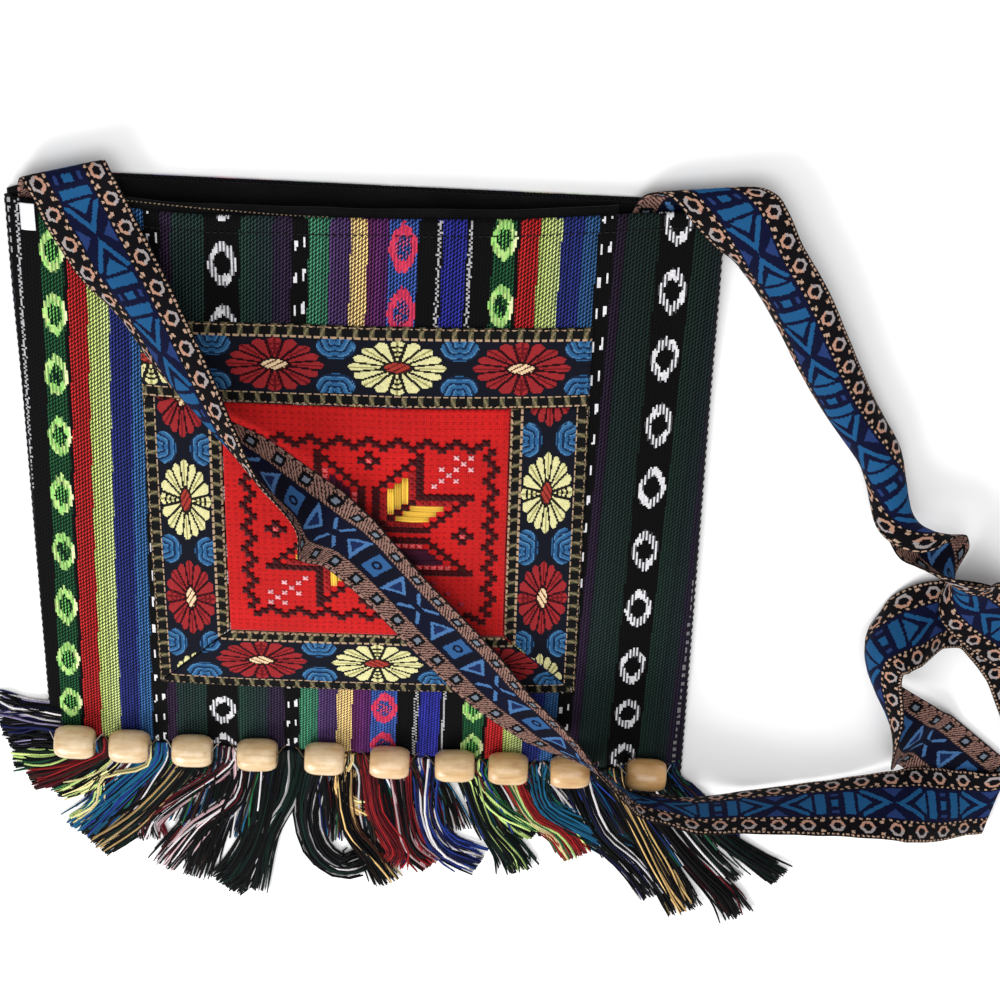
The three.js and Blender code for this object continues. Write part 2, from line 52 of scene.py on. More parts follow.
# ---------------------------------------------------------------- form of the bag
HALF = 139.7            # half the width of the pouch
EDGE_RISE = 3.6
PATCH_SIDE, PATCH_TURN = 179.0, 0.0
PATCH_X, PATCH_Y = 0.6, 0.6
RIBBON, TOP_RIBBON = 31.5, 34.0
TRIM_LIFT, TRIM = 0.4, 1.0
STRAP_WIDE, STRAP_THICK = 34.0, 1.6
FRINGE_HIGH = 4.6

# mouth edge of the front: x, y, height
MOUTH = [(-140, 138, 6.9), (-104, 137, 10.6), (-60, 135.6, 14), (0, 135.8, 14.2),
         (52, 136.4, 13.2), (90, 138, 10.8), (140, 140.6, 6.9)]
# crown down the middle: share of the way from mouth to bottom, height
CROWN = [(0, 14), (.17, 16.6), (.29, 18.8), (.4, 19.8), (.5, 19.4), (.61, 17.7),
         (.72, 15), (.84, 11.4), (.93, 8), (1, 3.6)]
# shallow dents: x, y, reach in x, reach in y, depth
DENTS = [(113, 10, 15, 75, 1.5), (-113, -5, 15, 70, 1.1), (20, 112, 80, 12, .9),
         (60, -112, 40, 12, .7), (20, 25, 45, 45, -1)]


def through(rows):
    """A smooth curve through (place, value) rows, without overshoot."""
    rows = np.array(rows, float)
    xs, ys = rows[:, 0], rows[:, 1]
    slope = np.diff(ys) / np.diff(xs)
    tan = np.zeros(len(xs))
    tan[0], tan[-1] = slope[0], slope[-1]
    for i in range(1, len(xs) - 1):
        if slope[i - 1] * slope[i] > 0:
            tan[i] = 2 * slope[i - 1] * slope[i] / (slope[i - 1] + slope[i])

    def at(x):
        x = np.clip(np.asarray(x, float), xs[0], xs[-1])
        i = np.clip(np.searchsorted(xs, x, side="left") - 1, 0, len(xs) - 2)
        h = xs[i + 1] - xs[i]
        q = (x - xs[i]) / h
        q2, q3 = q * q, q * q * q
        return (ys[i] * (2 * q3 - 3 * q2 + 1) + tan[i] * h * (q3 - 2 * q2 + q)
                + ys[i + 1] * (3 * q2 - 2 * q3) + tan[i + 1] * h * (q3 - q2))

    return at


def smooth(a, b, v):
    q = np.clip((np.asarray(v, float) - a) / (b - a), 0, 1)
    return q * q * (3 - 2 * q)


mouth_y = through([(x, y) for x, y, z in MOUTH])
mouth_z = through([(x, z) for x, y, z in MOUTH])
crown_z = through(CROWN)


def bottom_y(x):
    return -137.0 - 5.5 * np.asarray(x, float) / HALF


def back_mouth_y(x):
    return 144.4 - 3.0 * np.asarray(x, float) / HALF - 8.4 * smooth(116, HALF, -np.asarray(x, float))


def front_height(x, y):
    x, y = np.asarray(x, float), np.asarray(y, float)
    m = mouth_y(x)
    t = np.clip((m - y) / (m - bottom_y(x)), 0, 1)
    across = np.maximum(0, 1 - np.minimum(1, np.abs(x) / HALF) ** 2.8)
    dome = EDGE_RISE + (crown_z(t) - EDGE_RISE) * across
    blend = smooth(.11, .34, t)
    z = mouth_z(x) * (1 - blend) + dome * blend
    for dx, dy, rx, ry, d in DENTS:
        z = z - d * across * np.exp(-((x - dx) / rx) ** 2 - ((y - dy) / ry) ** 2)
    return np.maximum(z, EDGE_RISE)


def hash01(i, j=0, seed=0):
    """A repeatable scatter between 0 and 1 for whole numbers i, j."""
    i = np.asarray(i).astype(np.int64).astype(np.uint64)
    j = np.asarray(j).astype(np.int64).astype(np.uint64)
    k = np.asarray(seed).astype(np.int64).astype(np.uint64)
    h = (i * np.uint64(374761393) + j * np.uint64(668265263) + k * np.uint64(2246822519)) & np.uint64(0xFFFFFFFF)
    h = ((h ^ (h >> np.uint64(13))) * np.uint64(1274126177)) & np.uint64(0xFFFFFFFF)
    h = ((h ^ (h >> np.uint64(16))) * np.uint64(2654435761)) & np.uint64(0xFFFFFFFF)
    return ((h ^ (h >> np.uint64(15))) & np.uint64(0xFFFFFF)).astype(float) / float(0xFFFFFF)


def soft_noise(x, y, cell, seed):
    """Smooth scatter between -1 and 1 with features of about one cell."""
    x, y = np.asarray(x, float) / cell, np.asarray(y, float) / cell
    i, j = np.floor(x), np.floor(y)
    fx, fy = x - i, y - j
    fx, fy = fx * fx * (3 - 2 * fx), fy * fy * (3 - 2 * fy)
    i, j = i + 4096, j + 4096
    a, b = hash01(i, j, seed), hash01(i + 1, j, seed)
    c, d = hash01(i, j + 1, seed), hash01(i + 1, j + 1, seed)
    return 2 * ((a * (1 - fx) + b * fx) * (1 - fy) + (c * (1 - fx) + d * fx) * fy) - 1


def puckers(x, y):
    """Small unevenness of the sewn cloth, shared by the pouch and what is sewn on it."""
    inside = smooth(0, 9, HALF - np.abs(x)) * smooth(0, 10, np.asarray(y, float) - bottom_y(x))
    z = 0.26 * soft_noise(x, y, 31, 11) + 0.14 * soft_noise(x, y * .7, 14, 12)
    # short gathers along the upper hem and beside the applique
    hem = np.exp(-(((mouth_y(x) - y) - 12) / 13) ** 2)
    z = z + 0.30 * hem * soft_noise(x, 0 * x, 17, 13)
    side = np.exp(-((np.abs(x) - 114) / 13) ** 2)
    z = z + 0.42 * side * soft_noise(x * .35, y, 26, 14)
    return z * inside


def cloth_height(x, y):
    return front_height(x, y) + puckers(x, y)


def on_patch(p, q):
    c, s = math.cos(math.radians(PATCH_TURN)), math.sin(math.radians(PATCH_TURN))
    px, py = np.asarray(p, float) - PATCH_SIDE / 2, PATCH_SIDE / 2 - np.asarray(q, float)
    return PATCH_X + px * c - py * s, PATCH_Y + px * s + py * c


# ---------------------------------------------------------------- mesh making
def finish_mesh(name, verts, quads, ngons, rgb, uv_bake, uv_weave, material, twill=None, smooth_faces=True):
    """One mesh object. rgb is one sRGB colour (0 to 255) a face, uv one pair a face corner."""
    quads = np.asarray(quads, np.int32).reshape(-1, 4)
    flat = [quads.ravel()]
    total = [np.full(len(quads), 4, np.int32)]
    if ngons:
        flat.append(np.concatenate([np.asarray(g, np.int32) for g in ngons]))
        total.append(np.array([len(g) for g in ngons], np.int32))
    flat, total = np.concatenate(flat), np.concatenate(total)
    start = np.concatenate([[0], np.cumsum(total)[:-1]]).astype(np.int32)
    used = np.zeros(len(verts), bool)
    used[flat] = True
    renumber = np.cumsum(used) - 1
    verts, flat = np.asarray(verts, float)[used], renumber[flat].astype(np.int32)
    me = bpy.data.meshes.new(name)
    me.vertices.add(len(verts))
    me.vertices.foreach_set("co", (verts * MM).astype(np.float32).ravel())
    me.loops.add(len(flat))
    me.loops.foreach_set("vertex_index", flat)
    me.polygons.add(len(total))
    me.polygons.foreach_set("loop_start", start)
    me.polygons.foreach_set("loop_total", total)
    me.update(calc_edges=True)
    me.polygons.foreach_set("use_smooth", np.full(len(total), smooth_faces))
    if rgb is not None:
        col = me.color_attributes.new("Col", "BYTE_COLOR", "CORNER")
        rgba = np.ones((len(total), 4), np.float32)
        rgba[:, :3] = np.clip(np.asarray(rgb, float) / 255, 0, 1)
        col.data.foreach_set("color_srgb", np.repeat(rgba, total, axis=0).ravel())
    if twill is not None:
        att = me.attributes.new("twill", "FLOAT", "FACE")
        att.data.foreach_set("value", np.asarray(twill, np.float32))
    for label, uv in (("OFBake", uv_bake), ("Weave", uv_weave)):
        if uv is not None:
            me.uv_layers.new(name=label).data.foreach_set("uv", np.asarray(uv, np.float32).ravel())
    me.validate()
    me.materials.append(material)
    ob = bpy.data.objects.new(name, me)
    bpy.context.scene.collection.objects.link(ob)
    return ob


def sheet_mesh(name, top, low, rgb, low_rgb, weave, material, block=6, coarse=None, twill=None):
    """A closed sheet: a fine upper grid (rows, columns, 3), and a plainer lower one made of blocks.

    coarse(block centre rows, columns) says which blocks of the upper grid are plain too."""
    ny, nx = top.shape[0] - 1, top.shape[1] - 1
    bi = np.unique(np.append(np.arange(0, ny, block), ny))
    bj = np.unique(np.append(np.arange(0, nx, block), nx))
    at = lambda i, j: i * (nx + 1) + j
    under = (ny + 1) * (nx + 1)
    verts = np.concatenate([top.reshape(-1, 3), low[np.ix_(bi, bj)].reshape(-1, 3)])
    low_at = lambda I, J: under + I * len(bj) + J
    nI, nJ = len(bi) - 1, len(bj) - 1
    plain = np.zeros((nI, nJ), bool)
    if coarse is not None:
        mi, mj = (bi[:-1] + bi[1:]) // 2, (bj[:-1] + bj[1:]) // 2
        plain = coarse(mi[:, None] + 0 * mj[None], mj[None] + 0 * mi[:, None])
    fine = np.ones((ny, nx), bool)
    for I in range(nI):
        for J in range(nJ):
            if plain[I, J]:
                fine[bi[I]:bi[I + 1], bj[J]:bj[J + 1]] = False
    ii, jj = np.nonzero(fine)
    quads = np.stack([at(ii, jj), at(ii + 1, jj), at(ii + 1, jj + 1), at(ii, jj + 1)], -1)
    face_rgb = [rgb[ii, jj]]
    face_twill = [twill[ii, jj]] if twill is not None else None
    spare = 0.06                       # strip of the bake map kept for the underside and rim
    um = lambda j: 0.01 + 0.98 * np.asarray(j, float) / nx
    vm = lambda i: spare + 0.02 + (0.97 - spare) * (1 - np.asarray(i, float) / ny)
    cj = np.stack([jj, jj, jj + 1, jj + 1], -1)
    ci = np.stack([ii, ii + 1, ii + 1, ii], -1)
    bake = [np.stack([um(cj), vm(ci)], -1).reshape(-1, 2)]
    wv = [weave[ci, cj].reshape(-1, 2)]
    ngons, extra_rgb, extra_twill = [], [], []

    def side(I, J, which):
        """Upper vertices (row, column) along one side of a block, fine where its neighbour is fine."""
        i0, i1, j0, j1 = bi[I], bi[I + 1], bj[J], bj[J + 1]
        dI, dJ = {"w": (0, -1), "s": (1, 0), "e": (0, 1), "n": (-1, 0)}[which]
        K, L = I + dI, J + dJ
        near_fine = 0 <= K < nI and 0 <= L < nJ and not plain[K, L]
        ri = range(i0, i1 + 1) if near_fine else (i0, i1)
        rj = range(j0, j1 + 1) if near_fine else (j0, j1)
        if which == "w":
            return [(i, j0) for i in ri]
        if which == "s":
            return [(i1, j) for j in rj]
        if which == "e":
            return [(i, j1) for i in reversed(list(ri))]
        return [(i0, j) for j in reversed(list(rj))]

    for I, J in zip(*np.nonzero(plain)):
        ring = []
        for which in "wsen":
            ring += side(I, J, which)[:-1]
        ngons.append([at(i, j) for i, j in ring])
        extra_rgb.append(rgb[(bi[I] + bi[I + 1]) // 2, (bj[J] + bj[J + 1]) // 2])
        extra_twill.append(1.0)
        bake.append(np.array([(um(j), vm(i)) for i, j in ring]))
        wv.append(np.array([weave[i, j] for i, j in ring]))
    lu = lambda J: 0.01 + 0.60 * J / nJ
    lv = lambda I: 0.006 + (spare - 0.012) * I / nI
    for I in range(nI):
        for J in range(nJ):
            ngons.append([low_at(I, J), low_at(I, J + 1), low_at(I + 1, J + 1), low_at(I + 1, J)])
            extra_rgb.append(low_rgb if np.ndim(low_rgb) == 1 else low_rgb[min(bi[I], ny - 1), min(bj[J], nx - 1)])
            extra_twill.append(1.0)
            bake.append(np.array([(lu(J), lv(I)), (lu(J + 1), lv(I)), (lu(J + 1), lv(I + 1)), (lu(J), lv(I + 1))]))
            wv.append(np.array([weave[bi[a], bj[b]] for a, b in ((I, J), (I, J + 1), (I + 1, J + 1), (I + 1, J))]))
    # rim: fine border above, block corners below
    rim = []
    for J in range(nJ):
        rim.append(([(0, j) for j in range(bj[J], bj[J + 1] + 1)] if not plain[0, J] else [(0, bj[J]), (0, bj[J + 1])], (0, J + 1), (0, J)))
        rim.append(([(ny, j) for j in range(bj[J + 1], bj[J] - 1, -1)] if not plain[-1, J] else [(ny, bj[J + 1]), (ny, bj[J])], (nI, J), (nI, J + 1)))
    for I in range(nI):
        rim.append(([(i, 0) for i in range(bi[I + 1], bi[I] - 1, -1)] if not plain[I, 0] else [(bi[I + 1], 0), (bi[I], 0)], (I, 0), (I + 1, 0)))
        rim.append(([(i, nx) for i in range(bi[I], bi[I + 1] + 1)] if not plain[I, -1] else [(bi[I], nx), (bi[I + 1], nx)], (I + 1, nJ), (I, nJ)))
    per_row = 40
    rows = -(-len(rim) // per_row)
    for n, (upper, b1, b0) in enumerate(rim):
        ngons.append([at(i, j) for i, j in upper] + [low_at(*b1), low_at(*b0)])
        i, j = upper[len(upper) // 2]
        extra_rgb.append(rgb[min(i, ny - 1), min(j, nx - 1)])
        extra_twill.append(1.0)
        x0, y0 = 0.63 + 0.36 * (n % per_row) / per_row, 0.004 + (spare - 0.010) * (n // per_row) / rows
        w, h = 0.36 / per_row * 0.9, (spare - 0.010) / rows * 0.9
        m = len(upper) - 1
        bake.append(np.array([(x0 + w * k / m, y0 + h) for k in range(m + 1)] + [(x0 + w, y0), (x0, y0)]))
        wv.append(np.array([weave[i, j] for i, j in upper] + [weave[bi[min(b1[0], nI)], bj[min(b1[1], nJ)]], weave[bi[min(b0[0], nI)], bj[min(b0[1], nJ)]]]))
    face_rgb.append(np.array(extra_rgb, float).reshape(-1, 3))
    tw = None
    if twill is not None:
        tw = np.concatenate(face_twill + [np.array(extra_twill)])
    return finish_mesh(name, verts, quads, ngons, np.concatenate(face_rgb), np.concatenate(bake), np.concatenate(wv), material, tw)


def tubes_mesh(name, paths, radii, rgb, material, sides=4, flatten=1.0):
    """Many thin tubes as one mesh. paths (n, m, 3), radii (n, m), rgb (n, m - 1, 3)."""
    paths = np.asarray(paths, float)
    n, m, _ = paths.shape
    tan = np.gradient(paths, axis=1)
    tan /= np.maximum(np.linalg.norm(tan, axis=2, keepdims=True), 1e-9)
    ref = np.zeros_like(tan)
    ref[..., 2] = 1.0
    steep = np.abs(tan[..., 2]) > 0.95
    ref[steep] = (1.0, 0.0, 0.0)
    e1 = np.cross(tan, ref)
    e1 /= np.maximum(np.linalg.norm(e1, axis=2, keepdims=True), 1e-9)
    e2 = np.cross(e1, tan)
    ang = 2 * np.pi * (np.arange(sides) + 0.5) / sides
    ring = (paths[:, :, None] + radii[:, :, None, None]
            * (np.cos(ang)[:, None] * e1[:, :, None] + flatten * np.sin(ang)[:, None] * e2[:, :, None]))
    verts = ring.reshape(-1, 3)
    a, b, c = np.meshgrid(np.arange(n), np.arange(m - 1), np.arange(sides), indexing="ij")
    at = lambda a, b, c: (a * m + b) * sides + c % sides
    quads = np.stack([at(a, b, c), at(a, b, c + 1), at(a, b + 1, c + 1), at(a, b + 1, c)], -1).reshape(-1, 4)[:, ::-1]
    rgb = np.broadcast_to(np.asarray(rgb, float)[:, :, None], (n, m - 1, sides, 3)).reshape(-1, 3)
    cols = max(1, int(math.sqrt(n * m / 10)))
    rows = -(-n // cols)
    x0, y0 = (a % cols) / cols, (a // cols) / rows
    w, h = 0.92 / cols, 0.90 / rows
    u0, u1 = x0 + w * c / sides, x0 + w * (c + 1) / sides
    v0, v1 = y0 + h * b / (m - 1), y0 + h * (b + 1) / (m - 1)
    bake = np.stack([np.stack([u0, v0], -1), np.stack([u1, v0], -1), np.stack([u1, v1], -1), np.stack([u0, v1], -1)], -2)
    bake = bake.reshape(-1, 4, 2)[:, ::-1]
    along = np.concatenate([np.zeros((n, 1)), np.cumsum(np.linalg.norm(np.diff(paths, axis=1), axis=2), axis=1)], 1)
    s0, s1 = along[a, b], along[a, b + 1]
    weave = np.stack([np.stack([c, s0], -1), np.stack([c + 1, s0], -1), np.stack([c + 1, s1], -1), np.stack([c, s1], -1)], -2)
    weave = weave.reshape(-1, 4, 2).astype(float)[:, ::-1]
    caps, cap_rgb, cap_uv, cap_wv = [], [], [], []
    for k in range(n):
        cx, cy = (k % cols) / cols, (k // cols) / rows
        for end in (0, m - 1):
            loop = [at(k, end, s) for s in range(sides)]
            caps.append(loop if end == 0 else loop[::-1])
            cap_rgb.append(rgb[(k * (m - 1) + min(end, m - 2)) * sides])
            bx, by = cx + (0.10 if end == 0 else 0.5) / cols, cy + 0.93 / rows
            ca = ang if end == 0 else ang[::-1]
            cap_uv.append(np.stack([bx + 0.15 / cols * (1 + np.cos(ca)), by + 0.025 / rows * (1 + np.sin(ca))], -1))
            cap_wv.append(np.zeros((sides, 2)))
    return finish_mesh(name, verts, quads, caps, np.concatenate([rgb, np.array(cap_rgb)]),
                       np.concatenate([bake.reshape(-1, 2)] + cap_uv), np.concatenate([weave.reshape(-1, 2)] + cap_wv), material)


def place(ob, slot, *nodes):
    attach(ob, "root")
    if nodes:
        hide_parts(*nodes)
    return ob


# ---------------------------------------------------------------- materials
def linear(c):
    c = c / 255.0
    return c / 12.92 if c <= 0.04045 else ((c + 0.055) / 1.055) ** 2.4


def lin(rgb):
    return tuple(linear(v) for v in rgb) + (1.0,)


class Nodes:
    """A small helper that lays nodes of one material."""

    def __init__(self, name):
        self.mat = bpy.data.materials.new(name)
        self.mat.use_nodes = True
        self.tree = self.mat.node_tree
        self.bsdf = self.tree.nodes["Principled BSDF"]

    def add(self, kind, **props):
        node = self.tree.nodes.new(kind)
        for k, v in props.items():
            setattr(node, k, v)
        return node

    def link(self, a, b):
        self.tree.links.new(a, b)

    def wave(self, vector, period, turn, distortion=0.0):
        """Sine bands, one every period along the direction turn (degrees)."""
        m = self.add("ShaderNodeMapping")
        m.inputs["Rotation"].default_value[2] = math.radians(-turn)
        self.link(vector, m.inputs["Vector"])
        w = self.add("ShaderNodeTexWave", wave_type="BANDS", bands_direction="X", wave_profile="SIN")
        w.inputs["Scale"].default_value = 2 * math.pi / (20 * period)
        w.inputs["Distortion"].default_value = distortion
        self.link(m.outputs[0], w.inputs["Vector"])
        return w.outputs["Fac"]

    def noise(self, vector, scale, detail=3.0, rough=0.6):
        n = self.add("ShaderNodeTexNoise")
        n.inputs["Scale"].default_value = scale
        n.inputs["Detail"].default_value = detail
        n.inputs["Roughness"].default_value = rough
        self.link(vector, n.inputs["Vector"])
        return n.outputs["Fac"]

    def math(self, op, a, b):
        n = self.add("ShaderNodeMath", operation=op)
        for k, v in enumerate((a, b)):
            if isinstance(v, (int, float)):
                n.inputs[k].default_value = v
            else:
                self.link(v, n.inputs[k])
        return n.outputs[0]

    def ramp(self, fac, stops, smooth_ends=False):
        n = self.add("ShaderNodeValToRGB")
        r = n.color_ramp
        if smooth_ends:
            r.interpolation = "EASE"
        while len(r.elements) < len(stops):
            r.elements.new(0.5)
        for e, (p, c) in zip(r.elements, stops):
            e.position, e.color = p, c
        self.link(fac, n.inputs[0])
        return n.outputs[0]

    def mix(self, blend, fac, a, b):
        n = self.add("ShaderNodeMix", data_type="RGBA", blend_type=blend)
        for k, v in ((0, fac), (6, a), (7, b)):
            if isinstance(v, (int, float, tuple)):
                n.inputs[k].default_value = v
            else:
                self.link(v, n.inputs[k])
        return n.outputs[2]

    def bump(self, height, strength, distance):
        b = self.add("ShaderNodeBump")
        b.inputs["Strength"].default_value = strength
        b.inputs["Distance"].default_value = distance * MM
        self.link(height, b.inputs["Height"])
        self.link(b.outputs[0], self.bsdf.inputs["Normal"])

    def set(self, **values):
        for k, v in values.items():
            self.bsdf.inputs[k.replace("_", " ")].default_value = v


def grey(v):
    return (v, v, v, 1.0)


def woven(name, waves, dark, light, bump=0.35, depth=0.25, rough=(0.78, 0.95), twill=False, sheen=0.12, hair=0.25):
    """Cloth coloured by its own face colours, with threads from crossed sine bands.

    waves: (period, direction, share) rows, multiplied; dark and light: what the threads do to the colour."""
    n = Nodes(name)
    uv = n.add("ShaderNodeUVMap", uv_map="Weave").outputs[0]
    col = n.add("ShaderNodeVertexColor", layer_name="Col").outputs[0]
    f = None
    for period, turn, distortion in waves:
        w = n.wave(uv, period, turn, distortion)
        f = w if f is None else n.math("MULTIPLY" if not twill else "ADD", f, w)
    if twill:                                                     # short floats, where all the bands come together
        f = n.math("SUBTRACT", 1.0, n.math("MULTIPLY", f, 1 / len(waves)))
    fluff = n.noise(uv, 0.9, 4.0, 0.7)
    thread = n.math("ADD", f, n.math("MULTIPLY", n.math("SUBTRACT", fluff, 0.5), hair * 2))
    shade = n.ramp(thread, [(0.45, grey(dark)), (0.64, grey(light))] if twill else [(0.05, grey(dark)), (0.55, grey(light))])
    if twill:
        amount = n.add("ShaderNodeAttribute", attribute_name="twill").outputs["Fac"]
        colour = n.mix("MULTIPLY", amount, col, shade)
    else:
        colour = n.mix("MULTIPLY", 1.0, col, shade)
    n.link(colour, n.bsdf.inputs["Base Color"])
    r = n.ramp(thread, [(0.0, grey(rough[1])), (0.8, grey(rough[0]))])
    n.link(r, n.bsdf.inputs["Roughness"])
    n.bump(thread, bump, depth)
    n.set(Sheen_Weight=sheen, Sheen_Roughness=0.5, Specular_IOR_Level=0.07)
    return n.mat


striped = woven("striped_cloth", [(1.3, 0, 0.1), (1.495, 125.4, 0.1), (0.783, -25.2, 0.1)], 0.07, 1.0, bump=0.5, depth=0.3, twill=True, hair=0.10, sheen=0.01)


def strap_weave():
    """The strap's woven repeat, from the place along it (u, 50 to a repeat) and round it (v, in mm)."""
    n = Nodes("strap_weave")
    uv = n.add("ShaderNodeUVMap", uv_map="Weave").outputs[0]
    split = n.add("ShaderNodeSeparateXYZ")
    n.link(uv, split.inputs[0])
    fray = n.noise(uv, 1.1, 2.0, 0.6)
    u = n.math("ADD", split.outputs[0], n.math("MULTIPLY", n.math("SUBTRACT", fray, 0.5), 2.2))
    flat_v = split.outputs[1]
    less = lambda a, b: n.math("LESS_THAN", a, b)
    more = lambda a, b: n.math("GREATER_THAN", a, b)
    line = lambda a, k, c: n.math("ADD", n.math("MULTIPLY", a, k), c)
    off = lambda a, c: n.math("ABSOLUTE", n.math("SUBTRACT", a, c), 0.0)
    dash = lambda period, on: less(n.math("FLOORED_MODULO", u, period), on)

    def both(*masks):
        out = masks[0]
        for m in masks[1:]:
            out = n.math("MULTIPLY", out, m)
        return out

    def either(*masks):
        out = masks[0]
        for m in masks[1:]:
            out = n.math("MAXIMUM", out, m)
        return out

    def paint(ground, *coats):
        out = ground
        for mask, rgb in coats:
            out = n.mix("MIX", mask, out, lin(rgb))
        return out

    reverse = more(flat_v, 34.8)
    slip = n.math("MULTIPLY", n.math("SUBTRACT", n.noise(uv, 0.8, 2.0, 0.6), 0.5), 1.5)
    b = n.math("ADD", off(flat_v, line(reverse, 35.6, 17.0)), slip)       # from the strap's middle line
    t = n.math("PINGPONG", u, 25.0)                            # 0 at the dot, 25 at the crossing
    d = n.math("PINGPONG", u, 6.25)                            # from the middle of a border ring

    # pattern side
    bar = both(less(off(t, 6.2), 2.1), less(b, 6.1))
    dot = both(less(t, 1.5), less(b, 2.0))
    wedge = both(more(t, 9.8), less(b, line(t, -0.8, 12.64)))
    chevron = both(more(t, 11.2), less(b, 7.0), less(b, line(t, -0.5738, 13.885)), more(b, line(t, -0.5738, 11.705)))
    blue = either(bar, dot, wedge, chevron)
    pale = either(both(less(t, 1.5), less(off(b, 4.9), 0.7)), both(more(b, line(t, -0.95, 26.55)), less(b, 7.0)))
    across, along = n.math("MULTIPLY", off(b, 12.1), 1 / 2.7), n.math("MULTIPLY", d, 1 / 3.5)
    r = n.math("MAXIMUM", across, n.math("ADD", n.math("MULTIPLY", across, 0.55), along))
    ring = both(more(r, 0.58), less(r, 1.0))
    outer_half = both(ring, more(b, 12.1))
    dots = either(both(more(d, 5.4), less(off(off(b, 12.1), 2.6), 0.6)), both(less(off(b, 16.2), 0.42), dash(2.08, 1.05)),
                  both(less(off(b, 8.3), 0.4), dash(3.125, 1.2)))
    face = paint(lin((10, 8, 12)), (less(b, 7.6), (9, 13, 44)), (blue, (27, 82, 128)), (pale, (34, 54, 104)), (ring, (182, 138, 118)),
                 (outer_half, (160, 150, 150)), (dots, (182, 150, 128)))

    # other side, where the floats change places
    shell = both(more(t, 9.0), less(t, 17.0), less(b, line(t, -0.8649, 15.05)))
    core = both(more(t, 10.7), less(t, 15.4), less(b, line(t, -0.852, 13.10)))
    crossing = both(less(off(b, line(t, -1.05, 26.25)), 1.15), less(b, 6.9), more(b, 1.5), more(t, 18.8))
    thin = either(n.math("SUBTRACT", shell, core), crossing)
    away = n.math("SQRT", n.math("ADD", n.math("MULTIPLY", t, t), n.math("MULTIPLY", b, b)), 0.0)
    block = both(less(t, 3.8), less(b, 5.6), either(more(away, 2.3), less(away, 1.1)))
    square = n.math("MAXIMUM", d, off(b, 12.0))
    slant = n.math("FRACT", n.math("MULTIPLY", n.math("ADD", u, n.math("MULTIPLY", b, 0.8)), 1 / 1.56), 0.0)
    floats = either(both(less(slant, 0.56), less(off(b, 11.8), 3.7)), both(less(off(b, 16.2), 0.5), dash(4.2, 2.8)))
    other = paint(lin((26, 20, 22)), (less(b, 7.6), (8, 11, 34)), (both(less(b, 7.4), less(off(t, 6.2), 2.0)), (7, 9, 24)),
                  (core, (20, 36, 76)), (thin, (68, 108, 156)), (block, (44, 86, 134)), (floats, (146, 110, 99)), (less(square, 2.6), (10, 9, 12)),
                  (less(square, 1.25), (108, 118, 132)))
    up_face, up_other = either(blue, pale, ring, dots), either(thin, block, floats)

    rib = n.wave(uv, 0.52, 90, 0.25)
    fluff = n.noise(uv, 0.9, 4.0, 0.7)
    thread = n.math("ADD", rib, n.math("MULTIPLY", n.math("SUBTRACT", fluff, 0.5), 0.7))
    shade = n.ramp(thread, [(0.05, grey(0.62)), (0.55, grey(1.0))])
    n.link(n.mix("MULTIPLY", 1.0, n.mix("MIX", reverse, face, other), shade), n.bsdf.inputs["Base Color"])
    n.link(n.ramp(thread, [(0.0, grey(0.95)), (0.8, grey(0.78))]), n.bsdf.inputs["Roughness"])
    raised = n.math("ADD", n.math("MULTIPLY", thread, 0.5), n.math("MULTIPLY", either(up_face, up_other), 0.5))
    n.bump(raised, 0.4, 0.25)
    n.set(Sheen_Weight=0.01, Sheen_Roughness=0.5, Specular_IOR_Level=0.07)
    return n.mat


strap_cloth = strap_weave()
ribbon_cloth = woven("ribbon_weave", [(0.42, 55, 0.2)], 0.72, 1.0, bump=0.35, depth=0.15, hair=0.3, sheen=0.02)
aida = woven("counted_cloth", [(0.75, 0, 0.15), (0.75, 90, 0.15)], 0.70, 1.0, bump=0.4, depth=0.2, hair=0.3)
floss = woven("embroidery_floss", [(0.55, 35, 0.1)], 0.72, 1.0, bump=0.3, depth=0.12, sheen=0.05, rough=(0.5, 0.7))
yarn = woven("fringe_yarn", [(0.9, 40, 0.1)], 0.55, 1.0, bump=0.5, depth=0.12, sheen=0.02)
black_tape = woven("facing_tape", [(0.6, 45, 0.2), (0.6, -45, 0.2)], 0.45, 1.0, bump=0.4, depth=0.15, hair=0.4, sheen=0.02)
label_tape = woven("label_tape", [(0.35, 0, 0.1), (0.35, 90, 0.1)], 0.90, 1.0, bump=0.2, depth=0.08, hair=0.15)


# ---------------------------------------------------------------- striped cloth
BLACK = (8, 8, 10)
WHITE = (232, 230, 234)
STRIPES = [  # start, end (mm across one repeat of the warp), colour at its start, at its end
    (0.0, 8.4, BLACK, BLACK),
    (8.4, 10.1, BLACK, BLACK),
    (10.1, 19.1, (32, 84, 52), (32, 84, 52)),
    (19.1, 20.6, BLACK, BLACK),
    (20.6, 28.4, (196, 42, 42), (186, 36, 40)),
    (28.4, 37.2, (186, 202, 110), (198, 214, 144)),
    (37.2, 45.8, (44, 52, 122), (44, 56, 130)),
    (45.8, 51.6, (56, 98, 158), (60, 110, 164)),
    (51.6, 58.4, BLACK, BLACK),
    (58.4, 62.5, (54, 38, 64), (54, 38, 64)),
    (62.5, 76.0, (42, 60, 60), (39, 63, 57)),
    (76.0, 90.0, BLACK, BLACK),
    (90.0, 103.0, (39, 68, 58), (44, 58, 63)),
    (103.0, 110.5, (52, 44, 68), (57, 41, 68)),
    (110.5, 117.3, BLACK, BLACK),
    (117.3, 125.5, (70, 138, 104), (62, 124, 98)),
    (125.5, 133.9, (88, 62, 112), (80, 56, 104)),
    (133.9, 140.6, (246, 210, 142), (242, 204, 134)),
    (140.6, 149.0, (104, 44, 96), (96, 44, 112)),
    (149.0, 160.6, (62, 92, 170), (62, 92, 170)),
    (160.6, 170.4, BLACK, BLACK),
    (170.4, 179.7, (46, 50, 150), (46, 50, 150)),
    (179.7, 180.1, BLACK, BLACK),
]
